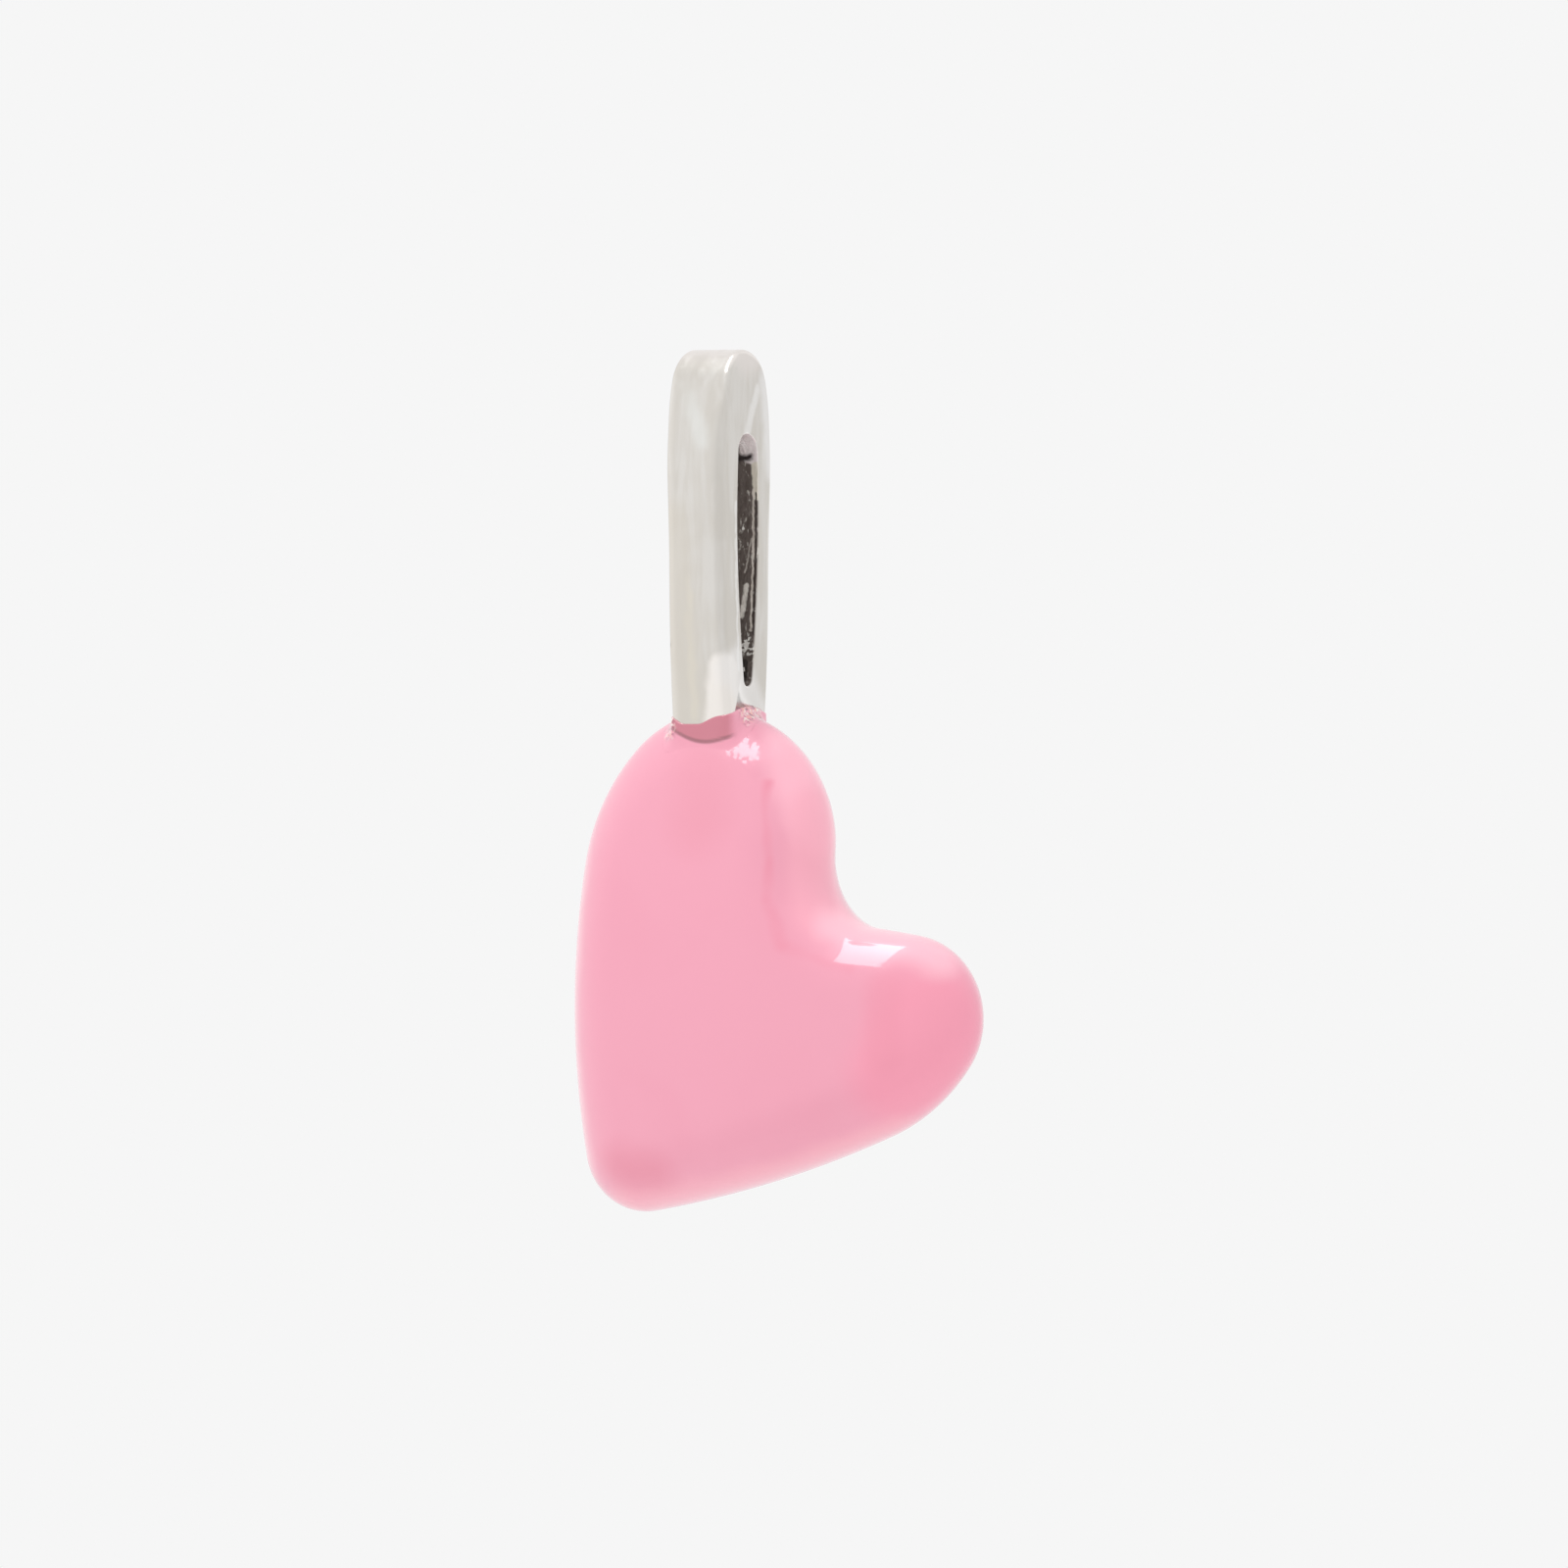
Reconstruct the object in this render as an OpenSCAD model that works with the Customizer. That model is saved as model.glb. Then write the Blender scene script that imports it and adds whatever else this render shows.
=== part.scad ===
// Puffy heart pendant: a cast bail that grows out of the upper lobe of a leaning, enamelled heart.
// It is drawn as it hangs. The origin is where the chain bears, at the top of the bail's eye.
// +Z is up, the front faces -Y, and the chain runs along X. All lengths are in millimetres.

/* [Eye] */
// Height of the eye, from where the chain bears to the foot
eye_height = 7.3; // [6:0.1:9]
// Gap between the two legs at the eye's widest place
eye_gap = 1.22; // [1:0.02:1.6]
// Depth of the eye's widest place below its top
eye_waist = 2; // [1.5:0.1:3]
// Radius of the eye's long, slightly bowed sides
eye_side_r = 37; // [34:1:60]

/* [Bail] */
// Width of the band, along the chain
band_width = 2; // [1.5:0.05:2.3]
// Thickness of each leg beside the eye
leg_thickness = 0.87; // [0.7:0.01:1.1]
// Height of the solid crown over the eye
crown_height = 2.45; // [1.9:0.05:2.8]
// Depth of the bail's widest place below the eye's top
bail_waist = 1.3; // [1:0.1:1.8]
// Radius of the bail's outline from its widest place up to the crown
upper_side_r = 10; // [8:0.5:14]
// Radius of the bail's outline from its widest place down to the foot
lower_side_r = 60; // [50:1:90]
// Height of the bare foot between the eye and the enamel
foot_height = 0.6; // [0.4:0.05:1.2]
// Radius of the band's soft outer edges
outer_edge_r = 0.4; // [0.1:0.01:0.43]
// Radius of the band's edges around the eye
eye_edge_r = 0.08; // [0.03:0.01:0.15]
// How far the band's outer face bulges across its width
face_bulge = 0.03; // [0.01:0.01:0.08]

/* [Enamel collar] */
// Height of the enamel on the foot's sides over the lobe's crest
collar_height = 0.1; // [0.06:0.01:0.3]
// How far the enamel's edge dips from the foot's sides to its front and back
collar_dip = 0.48; // [0.3:0.02:0.6]
// Depth that the collar's stem reaches into the heart, under its edge
stem_depth = 2.4; // [1.6:0.1:3]

/* [Heart outline] */
// Clockwise lean of the heart as it hangs, seen from the front
heart_lean = 40.3; // [30:0.1:50]
// Distance between the centres of the two lobes
lobe_spacing = 8.15; // [7.8:0.05:9]
// Distance from the line through the lobes down to the centre of the tip
tip_drop = 8.55; // [8:0.05:10]
// Radius of the upper lobe, which carries the bail
upper_lobe_r = 3.65; // [3.2:0.05:3.8]
// Radius of the lower lobe
lower_lobe_r = 2.45; // [2.3:0.05:3]
// Radius of the shoulder where the upper lobe runs into its side
upper_shoulder_r = 5.9; // [5:0.05:6.5]
// Radius of the shoulder where the lower lobe runs into its side
lower_shoulder_r = 5.95; // [5:0.05:6.5]
// Angle from the heart's upright to where each shoulder begins
shoulder_turn = 86; // [75:1:90]
// Radius of the side from the upper lobe to the tip
upper_side_bow_r = 29; // [24:1:45]
// Radius of the side from the lower lobe to the tip
lower_side_bow_r = 37; // [24:1:45]
// Radius of the hollow between the lobes
notch_r = 1.95; // [1.5:0.05:3]
// Radius of the nearly straight run from the hollow to the lower lobe
notch_run_r = 50; // [30:1:70]
// Angle from the heart's upright to where that run meets the lower lobe
notch_run_turn = 31; // [22:1:38]
// Radius of the tip
tip_r = 1.75; // [1.6:0.05:2.2]

/* [Heart thickness] */
// Thickness of the heart at its fullest place
heart_thickness = 4.5; // [4:0.1:5.5]
// Radius of the gentle crown of each face
face_crown_r = 34; // [30:1:60]
// Width of the rounded edge, from the outline to where the face begins
edge_width = 2.05; // [1.6:0.05:2.15]
// Fullness of the rounded edge, where 2 is an ellipse and more is squarer
edge_fullness = 2.6; // [2:0.1:3.5]
// Share of the drop from the lobes to the tip at which the heart is fullest
fullest_share = 0.45; // [0.2:0.05:0.6]

/* [Hidden] */

$fn = 96;

// The eye and the bail's outline, in the plane across the band
eye_half = eye_gap / 2;
bail_half = eye_half + leg_thickness;
foot_z = -eye_height - foot_height;
stem_z = foot_z - stem_depth;
cap_steps = 10;
upper_steps = 8;
lower_steps = 14;
corner_steps = 4;
bulge_steps = 4;

// The cylinder along X that the bare metal ends on
edge_level = foot_z - collar_dip;
edge_half = bail_half - lower_side_r + sqrt(pow(lower_side_r, 2) - pow(edge_level + bail_waist, 2));
saddle_r = (pow(edge_half, 2) + pow(collar_dip, 2)) / (2 * collar_dip);
saddle_z = foot_z - saddle_r;

// The heart in its own upright frame, with its origin at the centre of the upper lobe
upper_lobe = [0, 0];
lower_lobe = [lobe_spacing, 0];
heart_tip = [lobe_spacing / 2, -tip_drop];
fullest = [lobe_spacing / 2, -tip_drop * fullest_share];
crest_z = foot_z - collar_height;
lobe_z = crest_z - upper_lobe_r;
// As the edge turns in, the tip's corner shrinks and moves up by these shares of the inset
tip_shrink = 0.7;
tip_travel = 0.5;
edge_rings = 10;
// Steps of the outline's nine arcs, 96 in all
arc_steps = [5, 9, 8, 13, 9, 15, 8, 18, 11];
// Each face's rings run to a small circle round the middle of the face. Each takes every second,
// fourth or eighth point, and lies at its share of the way.
face_middle = [lobe_spacing / 2, -tip_drop * 0.45];
core_r = 0.6;
core_turn = 12;
ring_skips = [2, 2, 4, 8];
ring_shares = [0.25, 0.5, 0.75, 1];

function angle_of(v) = atan2(v.y, v.x);
function toward(a) = [cos(a), sin(a)];

// Angle a as the nearest one below or above the angle that a sweep starts from
function below(start, a) = a > start ? a - 360 : a;
function above(start, a) = a < start ? a + 360 : a;

// Points along an arc, with its last one left to the arc that follows
function arc(centre, r, start, end, steps) =
    [for (i = [0 : steps - 1]) centre + r * toward(start + (end - start) * i / steps)];

// Where two circles meet, on the left (1) or right (-1) of the way from the first centre to the second
function meet(a, r_a, b, r_b, side) =
    let (d = norm(b - a), e = (b - a) / d, k = (r_a * r_a - r_b * r_b + d * d) / (2 * d))
    a + k * e + side * sqrt(r_a * r_a - k * k) * [-e.y, e.x];

// Radius of the round end that closes two bowed sides of a long loop, at a reach from its waist
function cap_r(side_r, half, reach) =
    (half * (2 * side_r - half) - reach * reach) / (2 * (side_r - reach));

// Half of a long loop from its top to its bottom: a round end, two bowed sides and a round end
function half_loop(top, bottom, half, waist, upper_r, lower_r) =
    let (
        top_r = cap_r(upper_r, half, top - waist),
        bottom_r = cap_r(lower_r, half, waist - bottom),
        top_turn = atan2(top - top_r - waist, upper_r - half),
        bottom_turn = -atan2(waist - bottom - bottom_r, lower_r - half)
    )
    concat(
        arc([0, top - top_r], top_r, 90, top_turn, cap_steps),
        arc([half - upper_r, waist], upper_r, top_turn, 0, upper_steps),
        arc([half - lower_r, waist], lower_r, 0, bottom_turn, lower_steps),
        arc([0, bottom + bottom_r], bottom_r, bottom_turn, -90, cap_steps),
        [[0, bottom]]
    );

// The whole loop, down one side and up the other
function whole_loop(half) =
    concat(half, [for (i = [len(half) - 2 : -1 : 1]) [-half[i].x, half[i].y]]);

// The band's section, x along the chain and y from the eye outwards: soft outer edges and a bulging
// outer face. An outer edge takes at most half of the band's wall.
function band_section(wall) =
    let (r = min(outer_edge_r, wall / 2), outer_x = band_width / 2 - r, inner_x = band_width / 2 - eye_edge_r)
    concat(
        arc([outer_x, wall - r], r, 90, 0, corner_steps),
        arc([inner_x, eye_edge_r], eye_edge_r, 0, -90, corner_steps / 2),
        [[inner_x, 0]],
        arc([-inner_x, eye_edge_r], eye_edge_r, -90, -180, corner_steps / 2),
        [[-band_width / 2, eye_edge_r]],
        arc([-outer_x, wall - r], r, 180, 90, corner_steps),
        [for (i = [0 : bulge_steps - 1]) let (x = outer_x * (2 * i / bulge_steps - 1))
            [x, wall + face_bulge * (1 - pow(x / outer_x, 2))]]
    );

// Triangles between two closed rings of n points that start at vertices a and b
function skin(a, b, n) = [for (i = [0 : n - 1]) let (j = (i + 1) % n)
    each [[a + i, a + j, b + j], [a + i, b + j, b + i]]];

// Triangles between a ring of 2 n points that starts at vertex a and one of n points at vertex b
function narrowing_skin(a, b, n) = [for (i = [0 : n - 1]) let (j = (i + 1) % n, k = a + 2 * i)
    each [[k, k + 1, b + i], [k + 1, a + 2 * j, b + j], [k + 1, b + j, b + i]]];

// The same triangles seen from their other side
function turned(triangles) = [for (t = triangles) [t[2], t[1], t[0]]];

// The whole band, with its foot running on into the heart
module band() {
    inner = whole_loop(half_loop(0, -eye_height, eye_half, -eye_waist, eye_side_r, eye_side_r));
    outer = whole_loop(half_loop(crown_height, stem_z, bail_half, -bail_waist, upper_side_r, lower_side_r));
    stations = len(inner);
    rings = [for (i = [0 : stations - 1])
        let (out = outer[i] - inner[i], wall = norm(out), e = out / wall)
        [for (p = band_section(wall)) let (q = inner[i] + p.y * e) [p.x, q.x, q.y]]];
    around = len(rings[0]);
    polyhedron(
        points = [for (ring = rings) each ring],
        faces = [for (i = [0 : stations - 1]) each skin(((i + 1) % stations) * around, i * around, around)]
    );
}

// What the enamel covers of the foot: all of it under a cylinder that lies along the chain
module enamel_reach() {
    translate([0, 0, saddle_z]) rotate([0, 90, 0])
        cylinder(r = saddle_r, h = 2 * band_width, center = true);
    translate([-band_width, -2 * saddle_r, saddle_z - 4 * saddle_r])
        cube([2 * band_width, 4 * saddle_r, 4 * saddle_r]);
}

// The heart's outline, moved in by an inset, clockwise from the hollow between the lobes
function heart_ring(inset) =
    let (
        run_end = 90 + notch_run_turn,
        run = lower_lobe + (lower_lobe_r - notch_run_r) * toward(run_end),
        notch = meet(upper_lobe, upper_lobe_r + notch_r, run, notch_run_r + notch_r, 1),
        up = (notch - heart_tip) / norm(notch - heart_tip),
        tip = heart_tip + tip_travel * inset * up,
        tip_radius = tip_r - tip_shrink * inset,
        right_start = 90 - shoulder_turn,
        left_end = 90 + shoulder_turn,
        right_shoulder = lower_lobe + (lower_lobe_r - lower_shoulder_r) * toward(right_start),
        left_shoulder = upper_lobe + (upper_lobe_r - upper_shoulder_r) * toward(left_end),
        right_side = meet(right_shoulder, lower_side_bow_r - lower_shoulder_r,
                          tip, lower_side_bow_r - inset - tip_radius, -1),
        left_side = meet(left_shoulder, upper_side_bow_r - upper_shoulder_r,
                         tip, upper_side_bow_r - inset - tip_radius, 1),
        notch_right = angle_of(notch - run),
        side_right = angle_of(right_shoulder - right_side),
        tip_right = angle_of(tip - right_side),
        tip_left = below(tip_right, angle_of(tip - left_side)),
        side_left = below(tip_left, angle_of(left_shoulder - left_side)),
        lobe_left = below(side_left, left_end),
        notch_left = below(lobe_left, angle_of(notch - upper_lobe)),
        hollow_start = angle_of(upper_lobe - notch),
        hollow_end = above(hollow_start, angle_of(run - notch))
    )
    concat(
        arc(run, notch_run_r - inset, notch_right, run_end, arc_steps[0]),
        arc(lower_lobe, lower_lobe_r - inset, run_end, right_start, arc_steps[1]),
        arc(right_shoulder, lower_shoulder_r - inset, right_start, side_right, arc_steps[2]),
        arc(right_side, lower_side_bow_r - inset, side_right, tip_right, arc_steps[3]),
        arc(tip, tip_radius, tip_right, tip_left, arc_steps[4]),
        arc(left_side, upper_side_bow_r - inset, tip_left, side_left, arc_steps[5]),
        arc(left_shoulder, upper_shoulder_r - inset, side_left, lobe_left, arc_steps[6]),
        arc(upper_lobe, upper_lobe_r - inset, lobe_left, notch_left, arc_steps[7]),
        arc(notch, notch_r + inset, hollow_start, hollow_end, arc_steps[8])
    );

// Half of the heart's thickness at a place on its face
function face_half(p) = heart_thickness / 2 - pow(norm(p - fullest), 2) / (2 * face_crown_r);

// Rings of one face: the rounded edge, from the outline inwards, and then the gently crowned face
function face_side(side) =
    let (rim = heart_ring(edge_width), n = len(rim), start = angle_of(rim[0] - face_middle) + core_turn)
    concat(
        [for (i = [1 : edge_rings])
            let (x = cos(90 * i / edge_rings), swell = sqrt(1 - pow(x, edge_fullness)))
            [for (p = heart_ring(edge_width * (1 - x))) [p.x, side * swell * face_half(p), p.y]]],
        [for (i = [0 : len(ring_skips) - 1]) [for (k = [0 : ring_skips[i] : n - 1])
            let (
                core = face_middle + core_r * toward(start - 360 * k / n),
                p = rim[k] + ring_shares[i] * (core - rim[k])
            )
            [p.x, side * face_half(p), p.y]]]
    );

// Triangles of one face, over rings of these sizes that start at these vertices, and its middle vertex
function side_faces(sizes, starts, middle) =
    let (last = len(sizes) - 1)
    concat(
        [for (i = [0 : last - 1]) each sizes[i] == sizes[i + 1]
            ? skin(starts[i], starts[i + 1], sizes[i])
            : narrowing_skin(starts[i], starts[i + 1], sizes[i + 1])],
        [for (i = [0 : sizes[last] - 1])
            [starts[last] + i, starts[last] + (i + 1) % sizes[last], middle]]
    );

// The puffy heart, in its own upright frame
module pillow() {
    outline = [for (p = heart_ring(0)) [p.x, 0, p.y]];
    n = len(outline);
    front = face_side(-1);
    back = face_side(1);
    sizes = concat(n, [for (ring = front) len(ring)]);
    // Both faces share the outline, and the back's points follow the front's
    front_starts = [for (i = 0, at = 0; i < len(sizes); at = at + sizes[i], i = i + 1) at];
    middle = front_starts[len(sizes) - 1] + sizes[len(sizes) - 1];
    back_starts = [for (i = 0, at = 0; i < len(sizes); at = at + (i == 0 ? middle + 1 : sizes[i]), i = i + 1) at];
    middle_half = face_half(face_middle);
    polyhedron(
        points = concat(
            outline,
            [for (ring = front) each ring],
            [[face_middle.x, -middle_half, face_middle.y]],
            [for (ring = back) each ring],
            [[face_middle.x, middle_half, face_middle.y]]
        ),
        faces = concat(
            side_faces(sizes, front_starts, middle),
            turned(side_faces(sizes, back_starts, 2 * middle + 1 - n))
        )
    );
}

// The puffy heart where it hangs, with the crest of its upper lobe under the bail
module hung_pillow() {
    translate([0, 0, lobe_z]) rotate([0, heart_lean, 0]) pillow();
}

// The bare metal loop, down to the enamel
module bail() {
    color("silver") difference() {
        band();
        enamel_reach();
    }
}

// The enamelled heart, with the collar of enamel that climbs the foot
module heart() {
    color([0.97, 0.67, 0.75]) union() {
        hung_pillow();
        intersection() {
            band();
            enamel_reach();
        }
    }
}

bail();
heart();
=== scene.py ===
"""Puffy heart pendant: a polished cast bail that grows out of a leaning heart of glossy pink enamel.

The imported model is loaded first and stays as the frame. The two pieces made here stand for its two
nodes, at their places and sizes. All sizes in the classes are in millimetres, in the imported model's
frame: the origin is where the chain bears, +Z is up, the front faces -Y and the chain runs along X.
"""
import logging
import math
from dataclasses import dataclass, field
from enum import Enum

import bpy
from mathutils import Matrix, Vector
from mathutils.bvhtree import BVHTree


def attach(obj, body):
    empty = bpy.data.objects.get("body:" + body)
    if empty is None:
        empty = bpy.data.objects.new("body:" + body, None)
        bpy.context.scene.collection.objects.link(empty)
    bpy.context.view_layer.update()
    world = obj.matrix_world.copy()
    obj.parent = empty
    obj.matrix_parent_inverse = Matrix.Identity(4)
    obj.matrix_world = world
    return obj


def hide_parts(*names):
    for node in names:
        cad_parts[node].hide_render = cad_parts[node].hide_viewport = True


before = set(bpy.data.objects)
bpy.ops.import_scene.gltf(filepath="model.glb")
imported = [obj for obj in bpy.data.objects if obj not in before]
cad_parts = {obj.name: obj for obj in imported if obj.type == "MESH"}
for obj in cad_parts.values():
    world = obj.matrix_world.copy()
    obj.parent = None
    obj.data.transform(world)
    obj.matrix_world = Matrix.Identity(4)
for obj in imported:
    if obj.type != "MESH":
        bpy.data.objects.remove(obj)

LOG = logging.getLogger("pendant")
MM = 0.001
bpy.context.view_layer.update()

# A Span holds two values. A Fade holds the two ranges of NodeBoard.range, from and to.
Span = tuple[float, float]
Fade = tuple[float, float, float, float]
Point2 = tuple[float, float]
Point3 = tuple[float, float, float]
Colour = tuple[float, float, float]
Triangle = tuple[int, int, int]
Quad = tuple[int, int, int, int]
Socket = bpy.types.NodeSocket


class Side(Enum):
    """The two faces of the heart, by the sign of their Y."""

    FRONT = -1
    BACK = 1


class Mask(Enum):
    """Names of the values that a mesh carries for its finish, from 0 to 1 at each vertex."""

    EYE = "inside_the_eye"
    # Darker rose on the collar's front wall, above the crease.
    THIN = "darker_collar_wall"
    # Painted shade along the crease where the collar meets the heart.
    CREASE = "painted_collar_crease_shade"
    # Pits on the collar's side fillets, with painted glints round their edges and painted shade at
    # their bottoms.
    PITS_AND_GLINTS = "pits_and_glints_on_fillets"


def toward(angle: float) -> Point2:
    """Unit vector at an angle in degrees."""
    return math.cos(math.radians(angle)), math.sin(math.radians(angle))


def angle_of(x: float, y: float) -> float:
    """Angle of a vector in degrees."""
    return math.degrees(math.atan2(y, x))


def smooth_step(low: float, high: float, value: float) -> float:
    """Eased share of the way of a value from low to high, from 0 to 1."""
    share = min(max((value - low) / (high - low), 0.0), 1.0)
    return share * share * (3 - 2 * share)


def arc(centre: Point2, radius: float, start: float, end: float, steps: int) -> list[Point2]:
    """Points along an arc, with its last one left to the arc that follows.

    Args:
        centre: Centre of the arc.
        radius: Radius of the arc.
        start: Angle of its first point in degrees.
        end: Angle at which it ends in degrees.
        steps: Count of its steps.

    Returns:
        One point for each step.
    """
    points = []
    for step in range(steps):
        x, y = toward(start + (end - start) * step / steps)
        points.append((centre[0] + radius * x, centre[1] + radius * y))
    return points


def meet(a: Point2, r_a: float, b: Point2, r_b: float, side: int) -> Point2:
    """Where two circles meet.

    Args:
        a: Centre of the first circle.
        r_a: Radius of the first circle.
        b: Centre of the second circle.
        r_b: Radius of the second circle.
        side: 1 for the left of the way from the first centre to the second, -1 for the right.

    Returns:
        The meeting point.
    """
    gap = math.dist(a, b)
    x, y = (b[0] - a[0]) / gap, (b[1] - a[1]) / gap
    along = (r_a * r_a - r_b * r_b + gap * gap) / (2 * gap)
    out = side * math.sqrt(r_a * r_a - along * along)
    return a[0] + along * x - out * y, a[1] + along * y + out * x


def skin(a: int, b: int, count: int) -> list[Triangle]:
    """Skin between two closed rings of as many points.

    Args:
        a: First vertex of the outer ring.
        b: First vertex of the inner ring.
        count: Points in each ring.

    Returns:
        Its triangles.
    """
    triangles = []
    for i in range(count):
        j = (i + 1) % count
        triangles += [(a + i, b + j, a + j), (a + i, b + i, b + j)]
    return triangles


def narrowing_skin(a: int, b: int, count: int) -> list[Triangle]:
    """Skin between a closed ring and one inside it of half as many points.

    Args:
        a: First vertex of the outer ring.
        b: First vertex of the inner ring.
        count: Points in the inner ring.

    Returns:
        Its triangles.
    """
    triangles = []
    for i in range(count):
        j, k = (i + 1) % count, a + 2 * i
        triangles += [(k, b + i, k + 1), (k + 1, b + j, a + 2 * j), (k + 1, b + i, b + j)]
    return triangles


def swept(stations: int, around: int) -> list[Quad]:
    """Faces of a closed sweep of closed sections, whose points follow each other.

    Args:
        stations: Count of the sections.
        around: Points in each section.

    Returns:
        Four corners for each face.
    """
    faces = []
    for station in range(stations):
        start, after = station * around, (station + 1) % stations * around
        for i in range(around):
            j = (i + 1) % around
            faces.append((start + i, after + i, after + j, start + j))
    return faces


@dataclass
class Shell:
    """A mesh in the making: points in millimetres, faces, and the masks of its finish."""

    points: list[Vector] = field(default_factory=list)
    faces: list[tuple[int, ...]] = field(default_factory=list)
    masks: dict[Mask, list[float]] = field(default_factory=dict)

    def tree(self) -> BVHTree:
        """Search tree over the faces, in millimetres."""
        return BVHTree.FromPolygons(self.points, self.faces)

    def add(self, other: "Shell") -> None:
        """Takes in another shell, which keeps its own closed surface.

        Args:
            other: Shell to take in.
        """
        first = len(self.points)
        self.points += other.points
        self.faces += [tuple(first + corner for corner in face) for face in other.faces]
        for mask in {**self.masks, **other.masks}:
            mine = self.masks.setdefault(mask, [0.0] * first)
            mine += other.masks.get(mask, [0.0] * len(other.points))

    def build(self, name: str) -> bpy.types.Object:
        """Makes the mesh object, in metres, with smooth faces that point outwards.

        Args:
            name: Name of the new object.

        Returns:
            The linked object.
        """
        mesh = bpy.data.meshes.new(name)
        mesh.from_pydata([point * MM for point in self.points], [], self.faces)
        for mask, values in self.masks.items():
            layer = mesh.attributes.new(mask.value, "FLOAT", "POINT")
            layer.data.foreach_set("value", values)
        mesh.validate()
        mesh.shade_smooth()
        made = bpy.data.objects.new(name, mesh)
        bpy.context.scene.collection.objects.link(made)
        return made


def cut(body: bpy.types.Object, tool: bpy.types.Object) -> None:
    """Cuts a tool away from a body and deletes the tool.

    Args:
        body: Object whose mesh is changed.
        tool: Object that is used up.
    """
    change = body.modifiers.new("cut", "BOOLEAN")
    change.operation = "DIFFERENCE"
    change.solver = "EXACT"
    change.object = tool
    scene_state = bpy.context.evaluated_depsgraph_get()
    changed = bpy.data.meshes.new_from_object(body.evaluated_get(scene_state))
    body.modifiers.clear()
    old_mesh_and_eye_shade, body.data = body.data, changed
    changed.name = body.name
    bpy.data.meshes.remove(old_mesh_and_eye_shade)
    bpy.data.objects.remove(tool)


@dataclass(frozen=True)
class Mark:
    """A soft patch or stroke of another colour on a surface, in millimetres."""

    start: Point3
    end: Point3
    reach: float
    soft: float
    strength: float
    colour: Colour = (0.0, 0.0, 0.0)


@dataclass(frozen=True)
class Grain:
    """A noise: its features for each millimetre, its finer layers, their strength and its twist."""

    scale: float
    detail: float = 2.0
    roughness: float = 0.5
    twist: float = 0.0


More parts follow.
